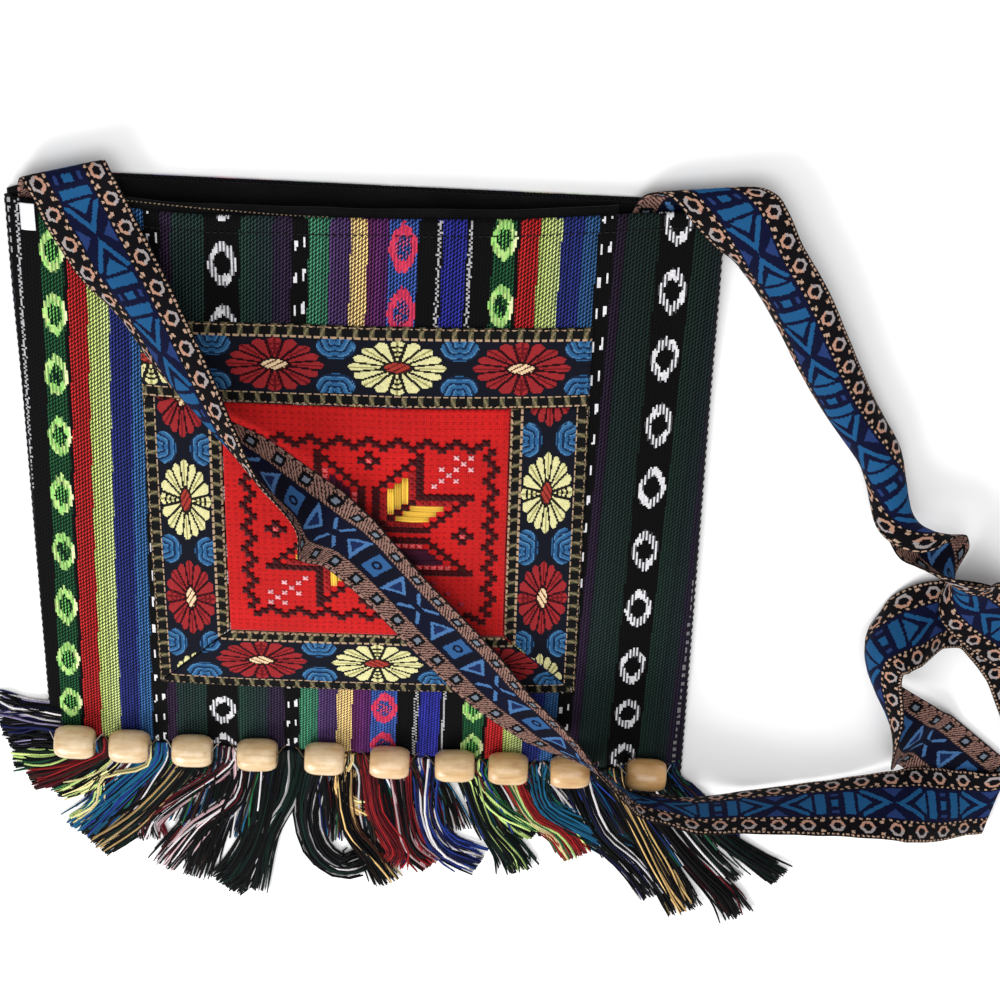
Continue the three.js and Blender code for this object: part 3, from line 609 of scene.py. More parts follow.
# columns of woven rings: warp place, height of the first, spacing, half width, half height, ring colours
RINGS = [
    (14.6, 116.5, 28.3, 5.2, 9.6, "neon"),
    (83.2, 115.5, 27.9, 5.9, 10.0, "white"),
    (154.8, 124.2, 28.4, 5.8, 11.2, "pink"),
    (194.6, 128.5, 28.8, 5.2, 9.6, "neon"),
    (263.2, 135.7, 30.2, 5.9, 10.0, "white"),
]
DASHES = [(55.0, 124.6), (113.9, 124.5), (235.0, 124.7)]   # warp place, height of the first group


def warp_place(x, y):
    """How far across the warp a place of the front lies: the stripes lean a little."""
    return -3.6 - 0.034 * (y - 115.0) + 1.0225 * (x + 140.0)


def weft_place(y):
    return np.where(y > -86, y, -86 + (y + 86) * 1.22)


def stripe_rgb(w, v):
    """Colour and twill strength of the striped cloth at warp place w, height v."""
    w, v = np.asarray(w, float), np.asarray(v, float)
    rep = np.mod(np.maximum(w, 0.0), 180.0)
    rgb = np.zeros(w.shape + (3,))
    for a, b, ca, cb in STRIPES:
        m = (rep >= a) & (rep < b)
        q = ((rep - a) / (b - a))[m][:, None]
        rgb[m] = np.array(ca) * (1 - q) + np.array(cb) * q
    twill = np.ones(w.shape)
    dark = rgb.sum(-1) < 70
    twill[dark] = 0.6
    thread = np.floor(w / 0.75)
    rgb *= (0.90 + 0.20 * hash01(thread, 0, 21))[..., None]
    # zigzag lines beside the navy stripe
    for centre in (1.3, 168.9, 181.3):
        zig = np.abs(np.mod(v / 2.15, 1.0) - 0.5) * 4 - 1
        m = np.abs(w - centre - 0.6 * zig) < 0.42
        rgb[m] = np.array(WHITE) * 0.72
        twill[m] = 0.15
    # the outermost warp threads, flecked white where they turn over the side seams
    for centre, half in ((-2.2, 0.6), (286.4, 0.6)):
        beat = v + 0.6 * hash01(np.floor(v / 4.4) + 300, 0, 37)
        m = (np.abs(w - centre) < half) & (np.mod(beat, 4.4) < 2.3)
        rgb[m] = np.array(WHITE) * 0.72
        twill[m] = 0.2
    # rings, drawn out along the warp as tie-dyed threads are
    for cw, first, pitch, a, b, kind in RINGS:
        near = np.abs(w - cw) < a + 1.5
        ww, vv = w[near], v[near]
        k = np.round((first - vv) / pitch)
        col = np.floor(ww / 0.78)
        dv = vv - (first - k * pitch) + 2.0 * (hash01(col, k + 50, 31) - 0.5)
        dw = ww - cw + 0.5 * (hash01(k + 50, 3, 32) - 0.5)
        r = (np.abs(dw / a) ** 1.55 + np.abs(dv / b) ** 1.55) ** (1 / 1.55)
        hole = (np.abs(dw / (a * .60)) ** 1.6 + np.abs(dv / (b * .54)) ** 1.6) ** (1 / 1.6)
        part, tw = rgb[near], twill[near]
        ring = (r < 1) & (hole > 1)
        gap = np.mod(ww, 1.56) < 0.55
        if kind == "white":
            part[ring] = np.array(WHITE) * 0.9
            part[ring & gap] = (96, 96, 102)
            tw[ring] = 0.12
        elif kind == "neon":
            tone = hash01(col, np.floor(vv / 3.5) + 60, 34)[:, None]
            lime = np.array((134, 196, 100)) * tone + np.array((190, 214, 136)) * (1 - tone)
            part[ring] = lime[ring]
            edge = ring & (dw > a * .72)
            part[edge] = (214, 220, 168)
            part[ring & gap & ~edge] *= 0.72
            tw[ring] = 0.15
            core = hole <= 1
            part[core] = np.where((np.mod(ww[core], 1.56) < 0.62)[:, None], (104, 184, 90), (20, 58, 38))
        else:
            part[ring] = (204, 56, 84)
            part[ring & gap] = (168, 40, 74)
            tw[ring] = 0.3
            core = hole <= 1
            part[core] = np.where((hash01(col[core], np.floor(vv[core] / 1.3) + 60, 35) < .42)[:, None], (196, 78, 120), (58, 84, 158))
        rgb[near], twill[near] = part, tw
    # pairs of short white dashes
    for cw, first in DASHES:
        near = np.abs(w - cw) < 2.9
        ww, vv = w[near], v[near]
        k = np.round((first - vv) / 14.15)
        side = np.where(ww > cw, 1.0, -1.0)
        dv = vv - (first - k * 14.15) - 0.7 * side
        on = (np.abs(dv) < 2.3) & (np.abs(ww - cw - 1.65 * side) < 0.5)
        part, tw = rgb[near], twill[near]
        part[on] = np.array(WHITE) * 0.92
        tw[on] = 0.1
        rgb[near], twill[near] = part, tw
    return rgb, twill


def jitter(rgb, amount, seed):
    i, j = np.meshgrid(np.arange(rgb.shape[0]), np.arange(rgb.shape[1]), indexing="ij")
    return rgb * (1 - amount + 2 * amount * hash01(i, j, seed))[..., None]


ROLL = 2.7                                   # how tightly the side seams turn under


def make_pouch():
    nx, ny = 400, 308
    reach = HALF - 1.9 + ROLL * math.pi / 2
    p = np.linspace(-reach, reach, nx + 1)
    flat = HALF - 1.9
    turn = np.clip(np.abs(p) - flat, 0, None) / ROLL
    x = np.sign(p) * (np.minimum(np.abs(p), flat) + (ROLL - 0.7) * np.sin(turn))
    drop = ROLL * (1 - np.cos(turn))
    b = np.linspace(0, 1, ny + 1)[:, None]
    xc = np.clip(x, -HALF + 1.9, HALF - 1.9)
    top_y, low_y = mouth_y(xc), bottom_y(xc)
    y = top_y + (low_y - top_y) * b
    X = np.broadcast_to(x, y.shape)
    XC = np.broadcast_to(xc, y.shape)
    below = np.broadcast_to(top_y, y.shape) - y                # down from the mouth edge
    above = y - np.broadcast_to(low_y, y.shape)                # up from the bottom edge
    z = cloth_height(XC, y)
    z = z + 0.30 * (1 - smooth(5.6, 6.6, below)) - 0.22 * np.exp(-((below - 6.7) / 0.7) ** 2)   # folded hem and its seam
    z = z - 0.55 * (1 - smooth(0, 1.4, below))                 # turned edge of the mouth
    z = z - 2.0 * (1 - smooth(0, 4.0, above))                  # bottom edge comes down
    z = np.maximum(z - drop, 0.5)
    top = np.stack([X, y, z], -1)
    low = top.copy()
    low[..., 2] = np.maximum(z - 1.3, 0.2)
    low[..., 0] = np.clip(low[..., 0], -HALF + 1.2, HALF - 1.2)
    cx = 0.5 * (p[1:] + p[:-1])
    cy = 0.5 * (y[1:] + y[:-1])
    cy = 0.5 * (cy[:, 1:] + cy[:, :-1])
    CX = np.broadcast_to(cx, cy.shape)
    rgb, twill = stripe_rgb(warp_place(CX, cy), weft_place(cy))
    rgb = jitter(rgb, 0.07, 5)
    # sewn side edges: dark, with a thin line of white thread
    seam = np.abs(CX) > HALF - 1.2
    on = (np.abs(CX) > HALF + 0.1) & (np.abs(CX) < HALF + 1.3) & (np.mod(cy / 3.6 + 0.2 * soft_noise(CX, cy, 22, 6), 1.0) < 0.5)
    rgb[seam] = np.minimum(rgb[seam], np.array((40, 40, 46)))
    rgb[on] = np.array(WHITE) * 0.9
    twill[seam] = 0.2
    # painted shade: the right-hand side of the cloth is darkened, all but its brightest threads, where the pouch slopes
    # away from the light
    rgb *= (1 - 0.30 * smooth(70, 112, CX) * (rgb.max(-1) < 190))[..., None]

    def under_patch(mi, mj):
        px, py = x[mj] - PATCH_X, y[mi, mj] - PATCH_Y
        lim = PATCH_SIDE / 2 - 9
        return (np.abs(px) < lim) & (np.abs(py) < lim)

    weave = np.stack([warp_place(np.broadcast_to(p, y.shape), y), weft_place(y)], -1)
    ob = sheet_mesh("pouch_front", top, low, rgb, np.array((24, 24, 27)), weave, striped, 8, under_patch, twill)
    place(ob, "striped_cloth", "front_panel")

    # back of the pouch, flat on the surface, its warp running on from the front
    nx, ny = 150, 120
    a = np.linspace(-1, 1, nx + 1)[None]
    b = np.linspace(0, 1, ny + 1)[:, None]
    x = (HALF - 0.4) * a + 0 * b
    y = back_mouth_y(x) + (bottom_y(x) - back_mouth_y(x)) * b
    rim = np.minimum(1 - np.abs(a), np.minimum(b, 1 - b) * 2) * HALF
    z = 1.5 + 0.12 * soft_noise(x, y, 24, 15) - 0.6 * (1 - smooth(0, 2.5, rim))
    low_z = 0.02 + 0.5 * (1 - smooth(0, 2.5, rim)) + 0.10 * (1 + soft_noise(x, y, 30, 16))
    upper = np.stack([x, y, z], -1)
    lower = np.stack([x, y, low_z], -1)
    # its outer side looks down, so that is the fine grid here
    cx = 0.25 * (x[1:, 1:] + x[:-1, 1:] + x[1:, :-1] + x[:-1, :-1])
    cy = 0.25 * (y[1:, 1:] + y[:-1, 1:] + y[1:, :-1] + y[:-1, :-1])
    rgb, twill = stripe_rgb(warp_place(-cx, cy) - 40, cy)
    rgb = jitter(rgb, 0.07, 8)
    flip = lambda g: g[:, ::-1]
    weave = np.stack([warp_place(-x, y) - 40, y], -1)
    ob = sheet_mesh("pouch_back", flip(lower), flip(upper), flip(rgb), np.array((26, 26, 30)), flip(weave), striped, 6, None, flip(twill))
    place(ob, "striped_cloth", "back_panel")


# ---------------------------------------------------------------- black facings of the mouth
def make_facings():
    def tape(name, node, x, y, top, low):
        upper, lower = np.stack([x, y, top], -1), np.stack([x, y, low], -1)
        shape = (x.shape[0] - 1, x.shape[1] - 1)
        tone = 17 + 4 * soft_noise(*np.meshgrid(np.arange(shape[1]), np.arange(shape[0])), 9, 17)
        rgb = jitter(np.stack([tone, tone, tone * 1.08], -1), 0.12, 18)
        ob = sheet_mesh(name, upper, lower, rgb, np.array((22, 22, 24)), np.stack([x, y], -1), black_tape, 5)
        place(ob, "facing", node)

    a, b = np.linspace(-1, 1, 161)[None], np.linspace(0, 1, 29)[:, None]
    x = 137.7 * a + 0 * b
    y = back_mouth_y(x) - 1.2 - 42 * b + 0.35 * soft_noise(x, 0 * x, 21, 19) * (1 - b)
    z = 2.9 + 0.35 * soft_noise(x, y, 26, 20) * smooth(0, .2, b) - 0.35 * (1 - smooth(0, .06, b))
    tape("mouth_facing_back", "back_facing", x, y, z, np.minimum(z - 0.8, 1.95 + 0 * z))
    a, b = np.linspace(-1, 1, 141)[None], np.linspace(0, 1, 25)[:, None]
    x = 98 * a + 0 * b
    y = mouth_y(x) + 3.2 - 23.2 * b + 0.3 * soft_noise(x, 0 * x, 15, 23) * (1 - b)
    z = front_height(x, np.minimum(y, mouth_y(x))) - 2.1 - 0.45 * (1 - smooth(0, .08, b)) - 0.5 * np.maximum(0, y - mouth_y(x)) / 3.2
    tape("mouth_facing_front", "front_facing", x, y, z, z - 0.9)


# ---------------------------------------------------------------- flower ribbon
CREAM = (172, 144, 116)


def ribbon_rgb(along, across, flowers):
    """Jacquard ribbon: along its length, across from its middle, flowers as (place, kind) rows."""
    l, c = along, np.abs(across)
    rgb = np.zeros(l.shape + (3,))
    rgb[:] = (15, 17, 28)
    # ladder along each edge
    cell = np.mod(l, 6.5)
    ladder = c > 11.0
    rgb[ladder] = (14, 13, 14)
    rung = ladder & (cell < 1.9)
    rgb[rung] = (74, 72, 50)
    lean = ladder & (np.abs(cell - 0.95 - (c - 13.2) * 0.5) < 0.5)
    rgb[lean] = (120, 108, 80)
    for place_c, shift in ((15.1, 0.0), (11.1, 1.2)):
        line = (np.abs(c - place_c) < 0.34) & (np.mod(l + shift, 3.2) < 2.2)
        rgb[line] = CREAM
    # flowers and the half rosettes between them
    for centre, kind in flowers:
        dl = l - centre
        for off in (-24.8, 24.8):
            el = l - centre - off
            inside = ((el / 7.4) ** 2 + ((c - 7.4) / 4.6) ** 2 < 1) & (c < 10.7)
            rgb[inside] = (42, 90, 134)
            swirl = np.mod(np.hypot(el / 1.25, c - 10.6) + 0.35 * np.cos(np.arctan2(el, 10.6 - c) * 5), 2.3)
            rgb[inside & (swirl < 0.8)] = (18, 38, 68)
            rgb[inside & (swirl > 1.8) & (np.abs(el) > 1.2)] = (74, 122, 162)
        X, Y = dl / 19.6, across / 10.6
        ang = np.arctan2(Y, X)
        rad = np.hypot(X, Y)
        petal = np.mod(ang + np.pi / 16, np.pi / 8) - np.pi / 16            # from the middle of its petal
        n = np.round(ang / (np.pi / 8))
        tip = 1.0 - 0.13 * (np.abs(petal) / (np.pi / 16)) ** 1.5
        tip = tip / (np.abs(np.cos(ang)) ** 1.85 + np.abs(np.sin(ang)) ** 1.85) ** (1 / 1.85)
        flank = (np.abs(n) == 1) | (np.abs(n) == 7)
        tip = np.where(flank, tip * 0.97, tip)
        inside = (rad < tip) & (c < 10.7)
        dist = np.abs(petal) * rad * 13.0
        edge = np.pi / 16 * rad * 13.0 - dist                              # to the line between petals
        if kind == "red":
            main, vein_tone, gap, eye_tone, eye_line = (146, 37, 41), (98, 18, 24), (36, 7, 13), (226, 198, 158), (96, 50, 30)
        else:
            main, vein_tone, gap, eye_tone, eye_line = (214, 209, 152), (150, 146, 90), (26, 24, 20), (156, 54, 44), (84, 20, 22)
        rgb[inside] = main
        vein = inside & (dist < 0.34) & (rad > 0.42) & (np.mod(n, 2) == 0)
        rgb[vein] = vein_tone
        rgb[inside & (edge < 0.46) & (rad > 0.22)] = gap
        upright = (np.abs(np.abs(n) - 4) < 0.5) & inside
        for rr in (0.42, 0.6, 0.78):
            rgb[upright & (np.abs(rad + 0.25 * np.abs(petal) - rr) < 0.042)] = gap if kind == "yellow" else vein_tone
        lens = (np.abs(dl) / 5.8) ** 1.6 + (np.abs(across) / 2.2) ** 1.6
        rgb[(lens < 1.35) & inside] = gap
        eye = lens < 0.86
        rgb[eye] = eye_tone
        twist = eye & (np.abs(np.mod(dl * 0.55 + across * 1.1 + 0.4, 2.2) - 1.1) < 0.33)
        rgb[twist] = eye_line
    return rgb


def make_ribbons():
    S, R, T, seam, step = PATCH_SIDE, RIBBON, TOP_RIBBON, 0.2, 0.5

    def band(name, node, length, place_at, flowers, R=RIBBON):
        """place_at(l, c) gives patch coordinates for l along the band, c across from its outer edge."""
        nl, nc = int(round(length / step)), int(round((R - seam) / step))
        a, b = np.linspace(0, 1, nl + 1)[None], np.linspace(0, 1, nc + 1)[:, None]
        p, q, l, c = place_at(a + 0 * b, b + 0 * a)
        x, y = on_patch(p, q)
        cl = 0.25 * (l[1:, 1:] + l[:-1, 1:] + l[1:, :-1] + l[:-1, :-1])
        cc = 0.25 * (c[1:, 1:] + c[:-1, 1:] + c[1:, :-1] + c[:-1, :-1])
        rgb = ribbon_rgb(cl, (cc - R / 2) * RIBBON / R, flowers)
        bright = rgb.sum(-1)
        rgb = jitter(rgb, 0.07, 25)
        raised = np.zeros(l.shape)
        raised[1:-1, 1:-1] = 0.25 * (bright[1:, 1:] + bright[:-1, 1:] + bright[1:, :-1] + bright[:-1, :-1]) / 700.0
        edge = np.minimum(np.minimum(b, 1 - b) * R, np.minimum(a, 1 - a) * length)
        base = cloth_height(x, y) + TRIM_LIFT
        z = base + 0.72 + 0.20 * np.clip(raised, 0, 1) - 0.5 * (1 - smooth(0, 0.9, edge)) + 0.08 * soft_noise(x, y, 9, 26)
        top, low = np.stack([x, y, z], -1), np.stack([x, y, base - 0.15], -1)
        weave = np.stack([l, c], -1)
        if np.cross(top[1, 0] - top[0, 0], top[0, 1] - top[0, 0])[2] < 0:
            top, low, rgb, weave = (g[:, ::-1] for g in (top, low, rgb, weave))
        ob = sheet_mesh(name, top, low, rgb, np.array((30, 28, 32)), weave, ribbon_cloth, 8)
        place(ob, "ribbon", node)

    W = R - seam
    V = T - seam
    band("flower_ribbon_top", "ribbon_top", S, lambda a, b: (S * a, V * b, S * a, V * b),
         [(4.0, "yellow"), (53.4, "red"), (102.1, "yellow"), (151.4, "red"), (200.6, "yellow")], T)

    def left(a, b):
        q0, q1 = T + seam, S - seam * 2 - b * R
        q = q0 + (q1 - q0) * a
        return W * b, q, q, W * b

    def right(a, b):
        q0, q1 = T + seam, S - seam * 2 - b * R
        q = q0 + (q1 - q0) * a
        return S - W * b, q, q, W * b

    def bottom(a, b):
        inset = seam * 2 + (R - seam) * b
        p = inset + (S - 2 * inset) * a
        return p, S - W * b, p, W * b

    side = [(32.0, "red"), (81.3, "yellow"), (131.0, "red"), (180.6, "yellow")]
    band("flower_ribbon_left", "ribbon_left", S - T, left, side)
    side = [(22.5, "red"), (73.0, "yellow"), (126.3, "red"), (176.0, "yellow")]
    band("flower_ribbon_right", "ribbon_right", S - T, right, side)
    band("flower_ribbon_bottom", "ribbon_bottom", S, bottom,
         [(-4.9, "yellow"), (44.5, "red"), (94.0, "yellow"), (143.6, "red"), (193.2, "yellow")])


# ---------------------------------------------------------------- counted-thread panel
CELL_X, CELL_Y = 2.95, 2.72                    # one counted stitch
FIELD, FIELD_TOP = RIBBON + 0.4, TOP_RIBBON + 0.4
STAR_P, STAR_Q = PATCH_SIDE / 2 + 1.4, PATCH_SIDE / 2 + 3.6


def panel_place(i, j):
    """Cell (i right, j up) of the chart, counted from the star's middle, on the ground plane."""
    i, j = np.asarray(i, float), np.asarray(j, float)
    return on_patch(STAR_P + CELL_X * i, STAR_Q - CELL_Y * j + 0.015 * CELL_X * i)


def panel_height(x, y):
    return cloth_height(x, y) + TRIM_LIFT + 0.78


def make_panel():
    n = 156
    a, b = np.linspace(0, 1, n + 1)[None], np.linspace(0, 1, n + 1)[:, None]
    side = PATCH_SIDE - 2 * FIELD
    p, q = FIELD + side * a + 0 * b, FIELD_TOP + (PATCH_SIDE - FIELD - FIELD_TOP) * b + 0 * a
    x, y = on_patch(p, q)
    edge = np.minimum(np.minimum(a, 1 - a), np.minimum(b, 1 - b)) * side
    # blocks of the ground cloth, three millimetres each, with a hole at their corners
    ci, cj = (p - STAR_P) / CELL_X, (STAR_Q - q) / CELL_Y
    hole = lambda ci, cj: np.hypot(np.abs(np.mod(ci, 1.0) - 0.5) * CELL_X, np.abs(np.mod(cj, 1.0) - 0.5) * CELL_Y)
    z = cloth_height(x, y) + TRIM_LIFT + 0.70 - 0.20 * np.exp(-(hole(ci, cj) / 0.55) ** 2) - 0.4 * (1 - smooth(0, 0.8, edge))
    z += 0.06 * soft_noise(x, y, 5, 27)
    mid = lambda g: 0.25 * (g[1:, 1:] + g[:-1, 1:] + g[1:, :-1] + g[:-1, :-1])
    h = hole(mid(ci), mid(cj))
    rgb = np.zeros((n, n, 3))
    rgb[:] = (196, 25, 25)
    rgb *= (1 + 0.05 * soft_noise(mid(x), mid(y), 16, 28))[..., None]
    rgb[h < 0.56] = (168, 18, 20)
    rgb = jitter(rgb, 0.05, 29)
    top, low = np.stack([x, y, z], -1), np.stack([x, y, cloth_height(x, y) + TRIM_LIFT - 0.15], -1)
    ob = sheet_mesh("stitched_panel", top, low, rgb, np.array((120, 24, 26)), np.stack([p, q], -1), aida, 6)
    place(ob, "cross_stitch", "cross_stitch_panel")


DARK = (58, 5, 11)
BROWN = (148, 22, 25)
GOLD = (236, 186, 66)
OLIVE = (150, 128, 30)
PLUM = (66, 14, 42)
ROSE = (226, 96, 100)
PALE = (232, 172, 178)


def star_chart():
    """Cross stitches by cell, and long satin stitches as (cells from, to, colour) rows."""
    cross, satin = {}, []
    # zigzag border ring
    wave = (0.65, 0.0, -0.65, 0.0)
    for s in (-1, 1):
        for k in range(-16, 17):
            cross[(k, s * (15.85 + wave[abs(k) % 4]))] = DARK
        for k in range(-15, 16):
            cross[(s * (16.8 + wave[abs(k) % 4]), k)] = DARK
    # eight-pointed star: petal north of north-east, then turned and mirrored
    petal = [(k, k + 7) for k in range(1, 8)] + [(7, j) for j in range(7, 14)] + [(k, k) for k in range(1, 7)] + [(1, j) for j in range(2, 8)]
    flips = [((sx, sy), swap) for sx in (1, -1) for sy in (1, -1) for swap in (0, 1)]
    turn = lambda c, s, swap: (s[0] * (c[1] if swap else c[0]), s[1] * (c[0] if swap else c[1]))
    for s, swap in flips:
        gold = s[0] * s[1] > 0
        for c in petal:
            cross[turn(c, s, swap)] = DARK
        for i in (2, 6):
            for j in range(i + 1, i + 6):
                cross.setdefault(turn((i, j), s, swap), BROWN if gold else ROSE)
        for i in (3, 4, 5):
            satin.append((turn((i, i + 0.7), s, swap), turn((i, i + 5.3), s, swap), GOLD if gold else PLUM))
        for i in (3.5, 4.5):
            satin.append((turn((i, i + 0.9), s, swap), turn((i, i + 5.1), s, swap), OLIVE if gold else DARK))
    # little ring flowers and corner sprigs
    for cx, cy in ((13, 0), (-13, 0), (0, 13), (0, -13)):
        for dx, dy in ((1, 0), (-1, 0), (0, 1), (0, -1)):
            cross[(cx + dx, cy + dy)] = DARK
        cross[(cx, cy)] = ROSE
    sprig = [(k, k) for k in range(9, 15)] + [(10, 12), (12, 10), (12, 14), (14, 12)]
    for c in sprig:
        for s in ((1, 1), (-1, -1)):
            cross[(c[0] * s[0], c[1] * s[1])] = PALE
    for c in sprig[::2]:
        for s in ((1, -1), (-1, 1)):
            cross[(c[0] * s[0], c[1] * s[1])] = (150, 40, 60)
    return cross, satin


def make_stitches():
    cross, satin = star_chart()
    paths, radii, rgb = [], [], []
    lift = np.array([0.02, 0.34, 0.46, 0.34, 0.02])

    def leg(i0, j0, i1, j1, colour, high, radius, key):
        f = np.linspace(0, 1, 5)
        x, y = panel_place(i0 + (i1 - i0) * f, j0 + (j1 - j0) * f)
        paths.append(np.stack([x, y, panel_height(x, y) + lift * high], -1))
        radii.append(radius * np.array([0.75, 1, 1.05, 1, 0.75]))
        tone = 0.88 + 0.24 * hash01(len(paths), key, 51)
        rgb.append(np.tile(np.array(colour) * tone, (4, 1)))

    for (i, j), colour in cross.items():
        if not (-20 <= i <= 19 and -20 <= j <= 20):
            continue
        e, r = (0.5, 0.86) if colour in (DARK, BROWN) else (0.34, 0.5)
        leg(i - e, j - e, i + e, j + e, colour, 0.3, r, 1)
        leg(i - e, j + e, i + e, j - e, colour, 0.75, r, 2)
    for (i0, j0), (i1, j1), colour in satin:
        if colour in (OLIVE, DARK):
            leg(i0, j0, i1, j1, colour, 0.5, 0.36, 3)
            continue
        upright = abs(j1 - j0) > abs(i1 - i0)
        for off in (-0.30, 0.0, 0.30):
            di, dj = (off, 0) if upright else (0, off)
            leg(i0 + di, j0 + dj, i1 + di, j1 + dj, colour, 1.0, 0.52, 4)
    ob = tubes_mesh("star_stitches", np.array(paths), np.array(radii), np.array(rgb), floss, sides=5, flatten=0.5)
    place(ob, "cross_stitch")


# ---------------------------------------------------------------- label
def make_label():
    a, b = np.linspace(0, 1, 20)[None], np.linspace(0, 1, 30)[:, None]
    x, y = -133.4 + 5.8 * a + 0 * b, 136.4 - 11.3 * b + 0 * a
    z = cloth_height(x, y) + TRIM_LIFT + 0.55 + 0.25 * np.sin(a * 3.1) + 0.1 * soft_noise(x, y, 6, 30)
    rgb = np.zeros((29, 19, 3))
    rgb[:] = (232, 232, 236)
    rgb[:, :2] = (206, 206, 212)
    ob = sheet_mesh("blank_label", np.stack([x, y, z], -1), np.stack([x, y, z - 0.5], -1), jitter(rgb, 0.02, 31),
                    np.array((225, 225, 228)), np.stack([x, y], -1), label_tape, 4)
    place(ob, "label", "side_label")


# ---------------------------------------------------------------- beads
def wood_material():
    n = Nodes("bead_wood")
    co = n.add("ShaderNodeTexCoord").outputs["Object"]
    m = n.add("ShaderNodeMapping")
    m.inputs["Scale"].default_value = (60, 420, 420)
    n.link(co, m.inputs["Vector"])
    grain = n.noise(m.outputs[0], 1.0, 6.0, 0.65)
    blotch = n.noise(co, 160.0, 2.0, 0.5)
    base = n.ramp(grain, [(0.30, lin((188, 158, 118))), (0.48, lin((213, 190, 153))), (0.70, lin((226, 206, 172)))])
    warm = n.ramp(blotch, [(0.35, lin((238, 226, 206))), (0.65, lin((255, 255, 255)))])
    col = n.add("ShaderNodeVertexColor", layer_name="Col").outputs[0]
    tone = n.mix("MULTIPLY", 1.0, n.mix("MULTIPLY", 0.8, base, warm), col)
    n.link(tone, n.bsdf.inputs["Base Color"])
    n.link(n.ramp(grain, [(0.3, grey(0.42)), (0.7, grey(0.28))]), n.bsdf.inputs["Roughness"])
    n.bump(grain, 0.10, 0.08)
    n.set(Coat_Weight=0.45, Coat_Roughness=0.18, Specular_IOR_Level=0.5)
    return n.mat


BEADS = 10
# how warm each bead is, left to right
BEAD_TONE = [(250, 248, 246), (248, 242, 236), (252, 248, 244), (252, 246, 238), (252, 246, 240), (252, 238, 226),
             (246, 234, 216), (242, 226, 202), (236, 214, 184), (232, 206, 172)]


def make_beads():
    wood = wood_material()
    half, radius, hole = 8.7, 7.3, 1.9
    t = np.linspace(-1, 1, 23)
    barrel = [(half * np.sign(v) * (1 - (1 - abs(v)) ** 1.12) * 0.985, radius * (1 - 0.30 * abs(v) ** 3.6)) for v in t]
    face = [(half * 0.995, 4.4), (half * 0.985, 3.4), (half * 0.965, 2.5), (half * 0.92, hole + 0.12), (half * 0.85, hole)]
    profile = [(-h, r) for h, r in reversed(face)] + barrel + face
    inner = [(half * f, hole) for f in (0.5, 0.15, -0.15, -0.5)]
    profile = np.array(profile + inner)
    sides = 44
    m = len(profile)
    ends = {}
    for k in range(BEADS):
        lo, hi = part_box(f"bead_{k + 1:02d}")
        c = (np.array(lo) + np.array(hi)) / 2 / MM
        spin = hash01(k, 1, 61) * 6.28
        ang = 2 * np.pi * np.arange(sides) / sides + spin
        wob = 1 + 0.012 * np.sin(ang * 2 + 5 * hash01(k, 2, 62))
        ring = np.zeros((m, sides, 3))
        ring[..., 0] = profile[:, 0][:, None]
        ring[..., 1] = profile[:, 1][:, None] * np.cos(ang) * wob
        ring[..., 2] = profile[:, 1][:, None] * np.sin(ang) * wob
        yaw = math.radians(5.0 * (hash01(k, 3, 63) - 0.5))
        cs, sn = math.cos(yaw), math.sin(yaw)
        x, y = ring[..., 0] * cs - ring[..., 1] * sn, ring[..., 0] * sn + ring[..., 1] * cs
        ring[..., 0], ring[..., 1] = x, y
        ring += c
        ends[k] = c
        i, j = np.meshgrid(np.arange(m), np.arange(sides), indexing="ij")
        at = lambda i, j: (i % m) * sides + j % sides
        quads = np.stack([at(i, j), at(i + 1, j), at(i + 1, j + 1), at(i, j + 1)], -1).reshape(-1, 4)[:, ::-1]
        tone = np.tile(np.array(BEAD_TONE[k], float), (m, sides, 1))
        r, h = profile[:, 1], np.abs(profile[:, 0])
        rim = np.clip((h - half * 0.93) / (half * 0.06), 0, 1) * np.clip((4.2 - r) / 2.2, 0, 1)
        inside = (np.roll(r, -1) <= hole + 0.13) & (r <= hole + 0.13)
        tone *= (1 - 0.45 * rim)[:, None, None]
        # painted shade: the faces inside each bead's hole are darkened to three tenths
        tone[inside] *= 0.30
        uu, vv = j / sides, i / m
        du, dv = 1 / sides, 1 / m
        uv = np.stack([np.stack([uu, vv], -1), np.stack([uu, vv + dv], -1), np.stack([uu + du, vv + dv], -1), np.stack([uu + du, vv], -1)], -2)
        ob = finish_mesh(f"wood_bead_{k + 1:02d}", ring.reshape(-1, 3), quads, [], tone.reshape(-1, 3),
                         uv.reshape(-1, 4, 2)[:, ::-1].reshape(-1, 2), None, wood)
        place(ob, "bead", f"bead_{k + 1:02d}")
    # sewing thread from each hole down into the cloth
    paths, rgb = [], []
    for k, c in ends.items():
        for s in (-1, 1):
            f = np.linspace(0, 1, 9)
            out = 2.6 + 2.2 * hash01(k, s + 2, 64)
            x = c[0] + s * (half - 1.5 + (1.5 + out) * f)
            y = c[1] + 0.5 * np.sin(f * 3) * (hash01(k, s + 5, 65) - 0.3)
            floor_z = cloth_height(np.clip(x, -HALF, HALF), y) + 0.35
            z = c[2] * (1 - smooth(0.15, 1, f)) + floor_z * smooth(0.15, 1, f)
            paths.append(np.stack([x, y, z], -1))
            rgb.append(np.tile((205, 200, 196) if k in (0, 2, 9) else (120, 100, 76), (8, 1)))
    ob = tubes_mesh("bead_threads", np.array(paths), np.full((len(paths), 9), 0.24), np.array(rgb), yarn)
    place(ob, "bead")


